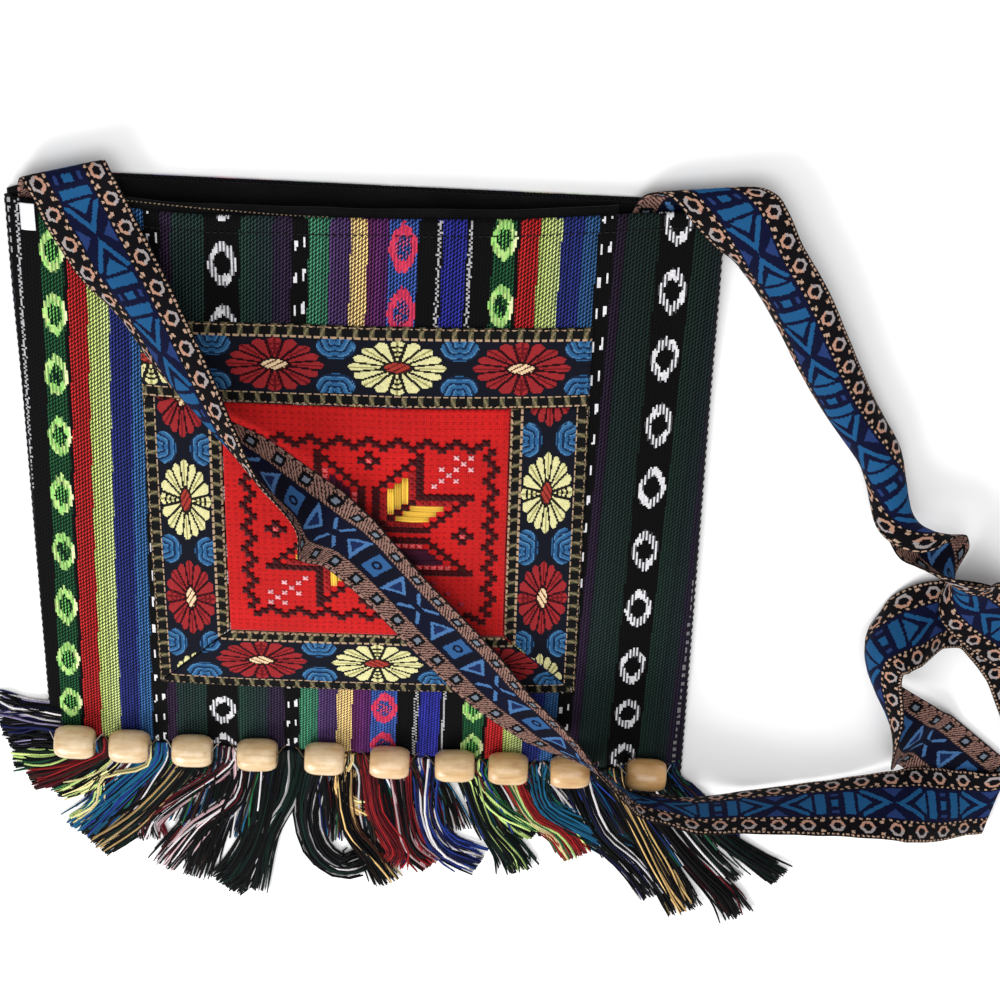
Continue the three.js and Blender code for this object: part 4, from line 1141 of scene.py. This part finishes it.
# ---------------------------------------------------------------- sewing
def make_sewing():
    """Topstitching of the hem, the tape and the applique's edges, each stitch a short raised thread."""
    paths, radii, rgb = [], [], []

    def stitch(x, y, z, colour, radius):
        paths.append(np.stack([x, y, z], -1))
        radii.append(radius * np.array([0.6, 1, 1, 0.6]))
        rgb.append(np.tile(np.array(colour, float) * (0.85 + 0.3 * hash01(len(paths), 0, 71)), (3, 1)))

    f = np.linspace(0, 1, 4)
    arc = np.array([-0.15, 0.22, 0.22, -0.15])
    for k, x0 in enumerate(np.arange(-134, 134, 2.7)):            # hem of the mouth
        x = x0 + 1.75 * f
        y = mouth_y(x) - 6.7
        stitch(x, y, cloth_height(x, y) + 0.1 + arc, (26, 26, 30), 0.26)
    for x0 in np.arange(-97, -14, 1.75):                          # dotted seam of the tape
        x = x0 + 0.9 * f
        y = mouth_y(x) + 2.5 * (1 - smooth(-80, -16, x))
        stitch(x, y, front_height(x, mouth_y(x)) - 2.2 - 0.5 * np.maximum(0, y - mouth_y(x)) / 3.2 + 0.1 + arc, (150, 128, 104), 0.24)
    S = PATCH_SIDE
    for d, top in ((0.9, 0.9), (RIBBON - 1.1, TOP_RIBBON - 1.1)):  # both edges of the ribbon frame
        for s0 in np.arange(d, S - d - 1.6, 2.5):
            for edge in range(4):
                u = s0 + 1.5 * f
                p, q = [(u, top + 0 * u), (u, S - d + 0 * u), (d + 0 * u, u), (S - d + 0 * u, u)][edge]
                x, y = on_patch(p, q)
                stitch(x, y, cloth_height(x, y) + TRIM_LIFT + 0.74 + arc, (20, 18, 20), 0.22)
    ob = tubes_mesh("topstitching", np.array(paths), np.array(radii), np.array(rgb), floss)
    place(ob, "ribbon")


# ---------------------------------------------------------------- strap
# route, left end to right end: x, y, height (None: lies on what is below), direction of its width, tip, curl
STRAP = [
    (-119, 112, 4.05, 0, 0, 0), (-118.5, 127, 4.05, 0, 0, 0), (-117.8, 139, 4.3, 4, 0, 0), (-116.5, 147.5, 7, 10, 0, 0),
    (-115, 152.4, 11.4, 15, 0, 0), (-112, 148.5, 15, 18, 3, 0), (-107, 135.5, None, 20, 2, 0), (-97.6, 118.4, None, 24, 8, 22),
    (-86, 100.2, None, 28, 25, 54), (-72.5, 75.4, None, 33, 38, 68), (-58.5, 53.9, None, 38, 62, 81), (-42.8, 37, None, 41, 92, 81),
    (-25.1, 18.8, None, 43, 110, 81), (-15.2, 6.2, None, 43, 164, 62), (-1.2, -9.1, None, 42, 190, 52), (19.5, -34.2, None, 41, 198, 45),
    (41.2, -62, None, 41, 198, 46), (62.4, -88.4, None, 40, 207, 50), (84.5, -107.6, None, 40, 220, 38), (96, -111.2, 32, 42, 237, 24),
    (107.5, -121.6, 31.4, 46, 246, 26), (119, -137, None, 60, 250, 36), (132, -139.8, None, 76, 254, 34), (146, -142.8, None, 87, 259, 32),
    (164, -143.7, None, 92, 263, 30), (186, -141.9, None, 95, 270, 28), (212, -139.4, None, 97, 281, 34), (236, -136.8, 21.4, 98, 302, 44),
    (254, -142.6, 14.2, 98, 336, 38), (268, -147.6, 6.2, 96, 354, 14), (278.5, -148.6, 3.9, 86, 360, 0), (281, -147.6, 2.6, 74, 360, 0),
    (278.5, -145.6, 1.3, 62, 360, 0), (269, -137, 1.2, 50, 360, 0), (258, -127, 1.8, 46, 359, 0), (248, -117.6, 1.8, 45, 359, 4),
    (239, -108, None, 43, 334, 30), (230, -97.5, None, 36, 298, 66), (223, -87, None, 24, 268, 95), (218, -76.5, None, 16, 256, 105),
    (215, -66, None, 8, 250, 105), (216, -56.5, None, -16, 246, 95), (223, -50, None, -54, 238, 80), (234, -47.6, 13.4, -76, 212, 34),
    (247, -48, 2.8, -88, 184, 4), (261, -50.5, 1.2, -108, 180, 0), (273, -60.5, 1.2, -134, 180, 0), (283, -74, 1.2, -148, 180, 0),
    (290, -89, 1.4, -152, 180, 0), (297, -102, None, -146, 200, 0), (308, -113, None, -124, 235, 0), (322, -117, None, -94, 265, 0),
    (336, -111, None, -50, 270, 0), (342, -98, None, 0, 270, 0), (337, -84, None, 36, 270, 0), (325, -75, None, 62, 265, 0),
    (311, -70, 17, 72, 232, 0), (297, -66, 9.4, 70, 196, 0), (284, -60, 7.6, 58, 182, 0), (270, -49.5, 8.8, 47, 180, 0),
    (257, -36.5, 15.5, 43, 187, 28), (248.5, -26, 20, 42, 236, 110), (240.5, -15.5, None, 41, 300, 172), (233.5, -5, None, 40, 365, 205),
    (226.3, 6, None, 39, 440, 220), (218, 18.5, None, 37, 510, 235), (204.6, 36, None, 35, 562, 222), (191.6, 54.5, None, 33, 566, 185),
    (181.2, 73.5, None, 32, 566, 142), (168, 100.5, None, 31, 566, 112), (155.6, 121.5, None, 32, 563, 100), (148, 136, 15.5, 32, 549, 48),
    (141, 145.5, 14, 20, 540, 14), (134, 150, 10.8, 8, 540, 0), (126, 147.2, 6.4, 3, 540, 0), (121, 139.5, 4.2, 0, 540, 0),
    (119.5, 127, 4.05, 0, 540, 0), (119, 112, 4.05, 0, 540, 0),
]
# where the woven repeat falls: length along the strap, place in the pattern (50 to a repeat)
STRAP_REPEAT = [(0, 5.7), (72.1, 75), (123.9, 125), (231.6, 225), (341.2, 325), (548.4, 525), (649.9, 625),
                (1121, 1075), (1165.4, 1125), (1216.8, 1175), (1323, 1277)]


def rest_height(x, y):
    inside = (np.abs(x) <= HALF + 1) & (y <= mouth_y(x) + 1) & (y >= bottom_y(x) - 1)
    lim = PATCH_SIDE / 2 + 4
    patch = (np.abs(x - PATCH_X) < lim) & (np.abs(y - PATCH_Y) < lim)
    on_bag = front_height(x, y) + np.where(patch, 1.3, 0)
    drop = bottom_y(np.minimum(x, HALF)) - y
    fringe = (drop > -1) & (drop < 80) & (x > -160) & (x < HALF + 0.9 * drop)
    return np.where(inside, on_bag, np.where(fringe, FRINGE_HIGH + 0.4, 0.0))


def plan_curve(points):
    """Centripetal cubic through the rows, as a function of row number."""
    pts = np.array(points, float)
    pts = np.concatenate([[2 * pts[0] - pts[1]], pts, [2 * pts[-1] - pts[-2]]])

    def at(k):
        i = np.clip(np.floor(k).astype(int), 0, len(pts) - 4)
        t = (k - i)[:, None]
        p0, p1, p2, p3 = (pts[i + n] for n in range(4))
        d0, d1, d2 = (np.sqrt(np.linalg.norm(b - a, axis=1))[:, None] for a, b in ((p0, p1), (p1, p2), (p2, p3)))
        t1 = ((p1 - p0) / d0 - (p2 - p0) / (d0 + d1) + (p2 - p1) / d1) * d1
        t2 = ((p2 - p1) / d1 - (p3 - p1) / (d1 + d2) + (p3 - p2) / d2) * d1
        c2, c3 = -3 * p1 + 3 * p2 - 2 * t1 - t2, 2 * p1 - 2 * p2 + t1 + t2
        return p1 + t1 * t + c2 * t * t + c3 * t ** 3

    return at


def blur(v, sigma):
    r = int(math.ceil(3 * sigma))
    k = np.exp(-0.5 * (np.arange(-r, r + 1) / sigma) ** 2)
    k /= k.sum()
    pad = np.concatenate([np.repeat(v[:1], r, 0), v, np.repeat(v[-1:], r, 0)])
    if v.ndim == 1:
        return np.convolve(pad, k, "valid")
    return np.stack([np.convolve(pad[:, c], k, "valid") for c in range(v.shape[1])], -1)


def strap_route():
    """Middle, width direction and curl of the strap every millimetre or so."""
    rows = STRAP
    s = [0.0]
    for a, b in zip(rows, rows[1:]):
        dz = b[2] - a[2] if a[2] is not None and b[2] is not None else 0.0
        s.append(s[-1] + math.sqrt((b[0] - a[0]) ** 2 + (b[1] - a[1]) ** 2 + dz * dz))
    s = np.array(s)
    st = np.linspace(0, s[-1], 1500)
    across, tip, curl = (through(np.stack([s, [r[k] for r in rows]], -1))(st) for k in (3, 4, 5))
    i = np.clip(np.searchsorted(s, st, side="left") - 1, 0, len(s) - 2)
    f = (st - s[i]) / (s[i + 1] - s[i])
    xy = plan_curve([(r[0], r[1]) for r in rows])(i + np.clip(f, 0, 0.999999))
    ca, sa, ct, sn = np.cos(np.radians(across)), np.sin(np.radians(across)), np.cos(np.radians(tip)), np.sin(np.radians(tip))
    w = np.stack([ca * ct, sa * ct, sn], -1)
    level = np.concatenate([np.gradient(xy, axis=0), np.zeros((len(st), 1))], 1)
    level /= np.linalg.norm(level, axis=1, keepdims=True)
    n = np.cross(level, w)
    n /= np.maximum(np.linalg.norm(n, axis=1, keepdims=True), 1e-9)
    bend = np.maximum(0.001, np.radians(curl))
    radius = STRAP_WIDE / bend
    lift = np.zeros(len(st))
    for k in range(-8, 9):
        a = bend * k / 16
        off = w * (radius * np.sin(a))[:, None] - n * (radius * (1 - np.cos(a)))[:, None]
        lift = np.maximum(lift, rest_height(xy[:, 0] + off[:, 0], xy[:, 1] + off[:, 1]) - off[:, 2])
    lift += 0.3 + 0.5 + STRAP_THICK / 2
    step = st[1] - st[0]
    reach = int(round(10 / step))
    pad = np.pad(lift, reach, mode="edge")
    high = np.max(np.stack([pad[k:k + len(st)] for k in range(2 * reach + 1)]), axis=0)
    pad = np.pad(high, reach, mode="edge")
    rested = np.mean(np.stack([pad[k:k + len(st)] for k in range(2 * reach + 1)]), axis=0)
    given = np.array([np.nan if r[2] is None else r[2] for r in rows])
    z0 = np.where(np.isnan(given[i]), rested, given[i])
    z1 = np.where(np.isnan(given[i + 1]), rested, given[i + 1])
    z = z0 + (z1 - z0) * f
    mid = blur(np.concatenate([xy, z[:, None]], 1), 1.6)
    return mid, blur(w, 2.0), blur(curl, 2.0)


def make_strap():
    mid, w, curl = strap_route()
    s = np.concatenate([[0], np.cumsum(np.linalg.norm(np.diff(mid, axis=0), axis=1))])
    ns, nc = 1150, 26
    st = np.linspace(0, s[-1], ns + 1)
    take = lambda v: np.stack([np.interp(st, s, v[:, k]) for k in range(v.shape[1])], -1)
    mid, w, curl = take(mid), take(w), np.interp(st, s, curl)
    t = np.gradient(mid, axis=0)
    t /= np.linalg.norm(t, axis=1, keepdims=True)
    w /= np.maximum(np.linalg.norm(w, axis=1, keepdims=True), 1e-9)
    n = np.cross(t, w)
    n /= np.maximum(np.linalg.norm(n, axis=1, keepdims=True), 1e-9)
    bend = np.maximum(0.001, np.radians(curl))[:, None]
    radius = STRAP_WIDE / bend
    c = np.linspace(-STRAP_WIDE / 2, STRAP_WIDE / 2, nc + 1)[None]
    # slight unevenness of the woven edges
    edge = 1 + 0.012 * soft_noise(st, 0 * st, 9, 91)[:, None]
    a = bend * c / STRAP_WIDE
    out, inn = radius * np.sin(a) * edge, -radius * (1 - np.cos(a))
    face_dir = n[:, None] * np.cos(a)[..., None] + w[:, None] * np.sin(a)[..., None]
    centre = mid[:, None] + w[:, None] * out[..., None] + n[:, None] * inn[..., None]
    thick = STRAP_THICK / 2 * (0.92 - 0.5 * np.abs(c / 17) ** 8)
    ridge = 0.05 * np.cos(c * 2 * np.pi / 3.9)                            # warp ridges
    upper = centre + face_dir * (thick + ridge)[..., None]
    lower = centre - face_dir * (thick + ridge)[..., None]
    upper[..., 2], lower[..., 2] = np.maximum(upper[..., 2], 0.05), np.maximum(lower[..., 2], 0.05)
    ring = np.concatenate([upper, lower[:, ::-1]], 1)                  # round the section
    m = ring.shape[1]
    verts = ring.reshape(-1, 3)
    at = lambda i, j: i * m + j % m
    i, j = np.meshgrid(np.arange(ns), np.arange(m), indexing="ij")
    quads = np.stack([at(i, j), at(i + 1, j), at(i + 1, j + 1), at(i, j + 1)], -1).reshape(-1, 4)[:, ::-1]
    # the bake map lays the strap in rows, unrolled round its section
    rows = 5
    per = ns // rows
    row = np.minimum(i // per, rows - 1)
    flatc = STRAP_WIDE / 2 + c[0]
    girth = np.concatenate([flatc, flatc + 35.6, [71.2]])
    turn = np.interp(st, *np.array(STRAP_REPEAT, float).T)
    u0, u1 = (i - row * per) / per, (i + 1 - row * per) / per
    v0, v1 = girth[j] / girth[-1], girth[j + 1] / girth[-1]
    fu, fv = (lambda u: 0.01 + 0.98 * u), (lambda v: (row + 0.02 + 0.96 * v) / rows * 0.97 + 0.02)
    uv = np.stack([np.stack([fu(u0), fv(v0)], -1), np.stack([fu(u1), fv(v0)], -1), np.stack([fu(u1), fv(v1)], -1), np.stack([fu(u0), fv(v1)], -1)], -2)
    uv = uv.reshape(-1, 4, 2)[:, ::-1]
    wv = np.stack([np.stack([turn[i], girth[j]], -1), np.stack([turn[i + 1], girth[j]], -1), np.stack([turn[i + 1], girth[j + 1]], -1), np.stack([turn[i], girth[j + 1]], -1)], -2)
    wv = wv.reshape(-1, 4, 2)[:, ::-1]
    caps, cap_uv, cap_wv = [], [], []
    for end, base in ((0, 0.2), (ns, 0.6)):
        for k in range(nc):
            loop = [at(end, k), at(end, k + 1), at(end, m - 2 - k), at(end, m - 1 - k)]
            caps.append(loop if end else loop[::-1])
            x0 = base + 0.3 * k / nc
            box = [(x0, 0.004), (x0 + 0.008, 0.004), (x0 + 0.008, 0.014), (x0, 0.014)]
            cap_uv.append(np.array(box if end else box[::-1]))
            cap_wv.append(np.full((4, 2), 0.2))
    ob = finish_mesh("woven_strap", verts, quads, caps, None, np.concatenate([uv.reshape(-1, 2)] + cap_uv),
                     np.concatenate([wv.reshape(-1, 2)] + cap_wv), strap_cloth)
    place(ob, "strap", "strap")
    return s[-1]


# ---------------------------------------------------------------- fringe
YARN = {
    "k": (7, 7, 9), "g": (12, 34, 29), "n": (24, 28, 72), "w": (206, 202, 204), "p": (196, 164, 168), "m": (84, 18, 26),
    "r": (152, 34, 36), "y": (206, 236, 140), "t": (24, 88, 122), "b": (36, 58, 140), "a": (226, 186, 122), "o": (58, 32, 22),
    "l": (150, 140, 178), "e": (34, 96, 60), "h": (238, 224, 160),
}
# locks of loose warp threads: tuft they belong to, width at the root and at the tip, threads, their colours,
# and the way they lie on the surface (x, y of each bend)
LOCKS = [
    (1, 8, 9, 42, "kknkkwl", [(-134, -113), (-149, -111), (-162, -110)]),
    (1, 9, 9, 46, "nnkklk", [(-134, -121), (-148, -119), (-162, -121)]),
    (1, 8, 8, 40, "kkknkl", [(-133, -128), (-146, -128), (-159, -131)]),
    (2, 10, 7, 44, "kgkyekg", [(-128, -131), (-141, -138), (-158, -139)]),
    (2, 12, 9, 52, "mmrkgko", [(-115, -134), (-131, -144), (-151, -152)]),
    (2, 9, 7, 38, "hykneg", [(-112, -137), (-124, -149), (-140, -158)]),
    (3, 15, 11, 60, "ttbtbkt", [(-94, -136), (-111, -157), (-130, -181)]),
    (3, 3, 3, 6, "yhy", [(-98, -140), (-118, -148), (-122, -163), (-134, -174)]),
    (4, 15, 12, 62, "kkgkkkak", [(-79, -136), (-102, -168), (-124, -188)]),
    (4, 11, 9, 44, "mkmpkkw", [(-63, -138), (-86, -159), (-99, -172), (-100, -184)]),
    (5, 12, 9, 48, "kmkpkkwk", [(-56, -138), (-59, -157), (-77, -175), (-93, -200)]),
    (5, 12, 8, 46, "kkokkkk", [(-56, -140), (-69, -176), (-78, -206)]),
    (5, 16, 13, 66, "kkgkkgk", [(-42, -137), (-47, -170), (-58, -200), (-66, -210)]),
    (6, 11, 8, 46, "kgkgwkk", [(-32, -136), (-35, -154), (-46, -178), (-53, -212)]),
    (6, 15, 10, 58, "kkkgkkw", [(-22, -138), (-27, -165), (-22, -188), (-12, -197), (-2, -193)]),
    (7, 6, 5, 18, "aaah", [(-9, -133), (-13, -150), (-8, -160), (1, -165)]),
    (7, 11, 7, 44, "kkokkak", [(-11, -138), (-8, -173), (2, -190), (10, -206)]),
    (7, 12, 9, 50, "rrmnkrm", [(2, -137), (4, -164), (14, -187), (12, -196)]),
    (8, 13, 9, 52, "kkrmpkm", [(14, -138), (17, -168), (21, -184), (30, -194)]),
    (8, 13, 10, 56, "bbnnwkb", [(28, -136), (27, -165), (35, -184), (51, -193)]),
    (9, 14, 9, 54, "kykegyk", [(45, -139), (59, -160), (76, -175)]),
    (9, 13, 9, 50, "gkgykkg", [(46, -141), (54, -169), (65, -186), (70, -197)]),
    (10, 13, 9, 52, "rrhymre", [(64, -140), (75, -165), (86, -173), (95, -188)]),
    (10, 14, 10, 56, "ttgtgkt", [(76, -139), (80, -158), (100, -172), (121, -183)]),
    (11, 15, 11, 60, "nkkwknk", [(94, -141), (106, -173), (121, -190), (133, -209)]),
    (12, 15, 11, 60, "kkkkkak", [(112, -143), (126, -176), (138, -202), (146, -219)]),
    (12, 10, 8, 40, "kkkwkkm", [(120, -145), (146, -186), (163, -207), (171, -221)]),
    (13, 11, 8, 42, "kkwkkkg", [(128, -145), (148, -178), (167, -201)]),
    (13, 8, 7, 34, "kkkgkk", [(134, -146), (159, -173), (172, -185), (188, -198)]),
]


# shorter under-threads of each tuft: tuft, root x, tip x, tip y
UNDER = [(2, -112, -129, -158), (3, -90, -107, -170), (4, -68, -82, -176), (5, -45, -54, -184), (6, -21, -20, -182), (7, 2, 9, -182),
         (8, 25, 34, -176), (9, 48, 62, -176), (10, 70, 88, -172), (11, 92, 116, -184), (12, 112, 142, -192), (13, 129, 160, -180)]
LOCKS += [(t, 19, 17, 46, "kkgknkkmkoektkbkwk", [(x0, -137), (0.6 * x0 + 0.4 * x1, -137 + 0.42 * (y1 + 137)), (x1, y1)]) for t, x0, x1, y1 in UNDER]


def make_fringe():
    steps = 13
    tufts = {k: ([], [], []) for k in range(1, 14)}
    for number, (tuft, wide0, wide1, count, colours, way) in enumerate(LOCKS):
        way = np.array(way, float)
        first = way[0]
        if tuft > 1:                                # sewn in just under the bead row
            lead = np.array([[first[0] + 0.12 * (first[0] - way[1][0]), bottom_y(first[0]) + 8.5]])
            way = np.concatenate([lead, way])
        curve = plan_curve(way)
        f = np.linspace(0, 1, steps)
        rng = np.random.default_rng(1000 + number)
        for k in range(int(count * 1.6)):
            reach = min(1.0, 0.86 + 0.2 * rng.random())
            far = f * reach
            base = curve(np.clip(far * (len(way) - 1), 0, len(way) - 1 - 1e-6))
            over = max(0.0, 0.86 + 0.2 * rng.random() - 1.0) * 14
            tan = np.gradient(base, axis=0)
            tan /= np.maximum(np.linalg.norm(tan, axis=1, keepdims=True), 1e-9)
            base = base + tan * (over * f ** 3)[:, None]
            side = np.stack([-tan[:, 1], tan[:, 0]], -1)
            spread = rng.uniform(-1, 1)
            wide = 0.62 * (wide0 + (wide1 - wide0) * smooth(0, 1, far))
            pinch = 1 - 0.28 * np.exp(-((far - 0.45) / 0.2) ** 2)
            amp, ph, freq = rng.uniform(0.3, 2.0), rng.uniform(0, 6.28), rng.uniform(3, 9)
            wander = amp * np.sin(freq * f + ph) * f + rng.normal(0, 1.9) * f ** 2.4
            xy = base + side * (spread * wide * pinch + wander)[:, None]
            layer = rng.random() ** 0.8
            dome = np.sqrt(max(0.05, 1 - spread ** 2))
            z = 0.45 + (FRINGE_HIGH - 0.6) * layer * dome * (1 - 0.6 * far ** 2) + 0.35 * np.sin(freq * 0.8 * f + ph + 1) * f
            x, y = xy[:, 0], xy[:, 1]
            if tuft > 1:
                cloth = cloth_height(np.clip(x, -HALF + 0.5, HALF - 0.5), np.maximum(y, bottom_y(x)))
                near = smooth(-9, 1.5, y - bottom_y(x)) * (np.abs(x) < HALF + 2)
                z = np.maximum(z, near * (cloth - 0.3 + 1.5 * layer * dome))
            else:
                z = np.maximum(z, 0.4) + 1.0 * (1 - f)
            key = colours[rng.integers(len(colours))]
            tone = np.array(YARN[key], float) * rng.uniform(0.72, 1.12)
            if key in "ka" and rng.random() < 0.25:
                tone = tone * 0.6 + np.array((34, 40, 44)) * 0.4
            r = rng.uniform(0.38, 0.58) * (1.2 if key in "wphya" else 1.0)
            p, q, c = tufts[tuft]
            p.append(np.stack([x, y, np.maximum(z, 0.35)], -1))
            q.append(r * np.concatenate([np.ones(steps - 1), [0.7]]))
            c.append(tone[None] * (0.92 + 0.16 * rng.random((steps - 1, 1))))
    for k, (p, q, c) in tufts.items():
        ob = tubes_mesh(f"fringe_threads_{k:02d}", np.array(p), np.array(q), np.array(c), yarn)
        place(ob, "fringe", f"fringe_{k:02d}")


# ---------------------------------------------------------------- floor, light, camera
def make_stage():
    n = Nodes("pale_floor")
    co = n.add("ShaderNodeTexCoord").outputs["Object"]
    cloud = n.noise(co, 3.0, 3.0, 0.5)
    n.link(n.ramp(cloud, [(0.3, grey(0.90)), (0.7, grey(0.93))]), n.bsdf.inputs["Base Color"])
    n.set(Roughness=0.9, Specular_IOR_Level=0.1)
    me = bpy.data.meshes.new("floor")
    me.from_pydata([(-3, -3, -0.0004), (3, -3, -0.0004), (3, 3, -0.0004), (-3, 3, -0.0004)], [], [(0, 1, 2, 3)])
    me.materials.append(n.mat)
    floor = bpy.data.objects.new("floor", me)
    bpy.context.scene.collection.objects.link(floor)

    world = bpy.data.worlds.new("studio")
    world.use_nodes = True
    world.node_tree.nodes["Background"].inputs[0].default_value = (1.0, 1.0, 1.0, 1.0)
    world.node_tree.nodes["Background"].inputs[1].default_value = 0.74
    bpy.context.scene.world = world

    def lamp(name, where, target, size, power):
        d = bpy.data.lights.new(name, "AREA")
        d.shape, d.size, d.size_y, d.energy = "RECTANGLE", size[0], size[1], power
        o = bpy.data.objects.new(name, d)
        bpy.context.scene.collection.objects.link(o)
        w, t = np.array(where, float), np.array(target, float)
        back = (w - t) / np.linalg.norm(w - t)
        right = np.cross((0, 0, 1.0), back)
        right /= np.linalg.norm(right)
        up = np.cross(back, right)
        o.matrix_world = Matrix([list(r) + [p] for r, p in zip(np.stack([right, up, back], 1), w)] + [[0, 0, 0, 1]])

    lamp("key_softbox", (-0.75, -1.05, 1.05), (0.05, 0.0, 0.0), (0.9, 0.9), 20)
    lamp("top_softbox", (0.1, 0.3, 1.7), (0.05, 0.0, 0.0), (1.2, 1.2), 12)

    view = bpy.context.scene.view_settings
    view.view_transform = "Standard"
    view.look = "None"


CAMERA = {"tilt": 32.0, "yaw": 0.267217513, "roll": -1.51865865, "far": 1050.45956, "focal_px": 2562.95161,
          "target": (55.3971665, 11.0756810, 15.0)}


def make_camera():
    tilt, yaw, roll = (math.radians(CAMERA[k]) for k in ("tilt", "yaw", "roll"))
    look = np.array([math.sin(yaw), -math.sin(tilt) * math.cos(yaw), -math.cos(tilt) * math.cos(yaw)])
    look /= np.linalg.norm(look)
    up = np.array([0, math.cos(tilt), -math.sin(tilt)])
    up -= look * (up @ look)
    up /= np.linalg.norm(up)
    right = np.cross(look, up)
    up2 = up * math.cos(roll) + right * math.sin(roll)
    right2 = np.cross(look, up2)
    pos = (np.array(CAMERA["target"]) - look * CAMERA["far"]) * MM
    cam = bpy.data.cameras.new("camera")
    cam.sensor_width = 36.0
    cam.lens = CAMERA["focal_px"] / 1000 * 36.0
    cam.clip_start, cam.clip_end = 0.05, 20
    ob = bpy.data.objects.new("camera", cam)
    bpy.context.scene.collection.objects.link(ob)
    ob.matrix_world = Matrix([list(r) + [p] for r, p in zip(np.stack([right2, up2, -look], 1), pos)] + [[0, 0, 0, 1]])
    bpy.context.scene.camera = ob


make_camera()
make_stage()
make_strap()
make_pouch()
make_facings()
make_ribbons()
make_panel()
make_stitches()
make_label()
make_beads()
make_sewing()
make_fringe()

bpy.context.view_layer.update()
